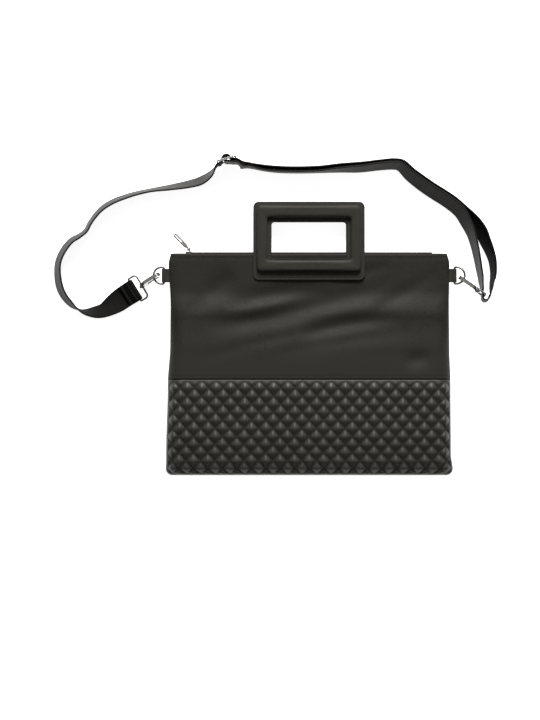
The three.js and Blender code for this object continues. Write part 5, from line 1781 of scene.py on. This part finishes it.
class TALLIT_OT_slide(bpy.types.Operator):
    """Three-bar slide of round nickel wire that sets the strap's length"""
    bl_idname = "tallit.slide"
    bl_label = "Strap Slide"

    def execute(self, context):
        route = StrapRoute(context)
        h = route.hardware
        half, tall = h.slide_long / 2, h.loop_wide / 2
        outline = evenly(round_box(-half, half, -tall, tall, 0.0022, 8), 0.0007)
        path = route.slide_middle + outline[:, :1] * route.slide_along + outline[:, 1:] * UP
        frame_wire = wire_loop(path, h.loop_wire, 16, route.slide_out)
        bar_path = route.slide_middle + np.linspace(-tall, tall, 24)[:, None] * UP
        bar = sweep(bar_path, route.slide_along, route.slide_out, circle(h.loop_wire, 16))
        put_piece("strap_slide_wire", *joined([frame_wire, bar]), "nickel",
                  replaces=["strap_slide"], slot="nickel")
        return {"FINISHED"}


class TALLIT_OT_stage(bpy.types.Operator):
    """Pale floor, one soft lamp and the camera straight above, as in a catalogue picture"""
    bl_idname = "tallit.stage"
    bl_label = "Stage"

    def execute(self, context):
        colours = context.scene.tallit_finishes
        scene = context.scene
        mesh = bpy.data.meshes.new("floor")
        size = 6.0
        mesh.from_pydata([(-size, -size, -0.0002), (size, -size, -0.0002), (size, size, -0.0002),
                          (-size, size, -0.0002)], [], [(0, 1, 2, 3)])
        floor = bpy.data.objects.new("floor", mesh)
        scene.collection.objects.link(floor)
        shader = Shader("floor")
        shader.set(Base__Color=tuple(colours.floor), Roughness=0.9, Specular__IOR__Level=0.1,
                   Emission__Color=(1, 1, 1), Emission__Strength=colours.glow)
        mesh.materials.append(shader.material)
        world = bpy.data.worlds.new("studio")
        world.use_nodes = True
        background = world.node_tree.nodes["Background"]
        background.inputs["Color"].default_value = (1, 1, 1, 1)
        background.inputs["Strength"].default_value = colours.sky
        scene.world = world
        self.lamp(np.array([0.1, 1.75, 1.1]), 0.9, colours.key)
        self.camera(scene)
        scene.view_settings.view_transform = "Standard"
        return {"FINISHED"}

    def lamp(self, spot, size, power):
        """A square lamp that shines from its place towards the floor's middle."""
        light = bpy.data.lights.new("key", "AREA")
        light.shape = "SQUARE"
        light.size = size
        light.energy = power
        lamp = bpy.data.objects.new("key", light)
        lamp.location = spot
        x, y, z = unit(spot)
        lamp.rotation_euler = (math.acos(z), 0.0, math.atan2(x, -y))
        bpy.context.scene.collection.objects.link(lamp)

    def camera(self, scene):
        """Straight down on the picture's middle, 0.9 m of floor over the picture's height."""
        lens = bpy.data.cameras.new("camera")
        lens.sensor_width = 36
        lens.lens = 72
        camera = bpy.data.objects.new("camera", lens)
        camera.location = (-0.050, 0.0046, 1.8123)
        scene.collection.objects.link(camera)
        scene.camera = camera


class TALLIT_PT_sidebar(bpy.types.Panel):
    """Sizes, colours and steps of the tallit bag"""
    bl_idname = "TALLIT_PT_sidebar"
    bl_label = "Tallit Bag"
    bl_space_type = "VIEW_3D"
    bl_region_type = "UI"
    bl_category = "Tallit Bag"

    def draw(self, context):
        column = self.layout.column()
        for group in GROUPS:
            settings = getattr(context.scene, group)
            for name in settings.bl_rna.properties.keys():
                if name not in ("rna_type", "name"):
                    column.prop(settings, name)
        for step in STEPS:
            column.operator(step.bl_idname)


GROUPS = {
    "tallit_pouch": PouchSizes,
    "tallit_handle": HandleSizes,
    "tallit_hardware": HardwareSizes,
    "tallit_strap": StrapSizes,
    "tallit_finishes": Finishes,
}
STEPS = [
    TALLIT_OT_upper_panel, TALLIT_OT_quilted_panel, TALLIT_OT_back_panel, TALLIT_OT_side_seams,
    TALLIT_OT_zip, TALLIT_OT_slider, TALLIT_OT_handle_backings, TALLIT_OT_handle_pads,
    TALLIT_OT_sewing, TALLIT_OT_tabs, TALLIT_OT_rings, TALLIT_OT_hooks, TALLIT_OT_strap,
    TALLIT_OT_slide, TALLIT_OT_stage,
]


def register():
    """Adds the property groups, the steps and the panel."""
    for group in GROUPS.values():
        bpy.utils.register_class(group)
    for name, group in GROUPS.items():
        setattr(bpy.types.Scene, name, PointerProperty(type=group))
    for step in STEPS:
        bpy.utils.register_class(step)
    bpy.utils.register_class(TALLIT_PT_sidebar)


def unregister():
    """Takes away what register adds."""
    bpy.utils.unregister_class(TALLIT_PT_sidebar)
    for step in reversed(STEPS):
        bpy.utils.unregister_class(step)
    for name, group in GROUPS.items():
        delattr(bpy.types.Scene, name)
        bpy.utils.unregister_class(group)


def main():
    """Registers the steps, then makes every piece in order."""
    register()
    for step in STEPS:
        part, action = step.bl_idname.split(".")
        getattr(getattr(bpy.ops, part), action)()


if __name__ == "__main__":
    main()
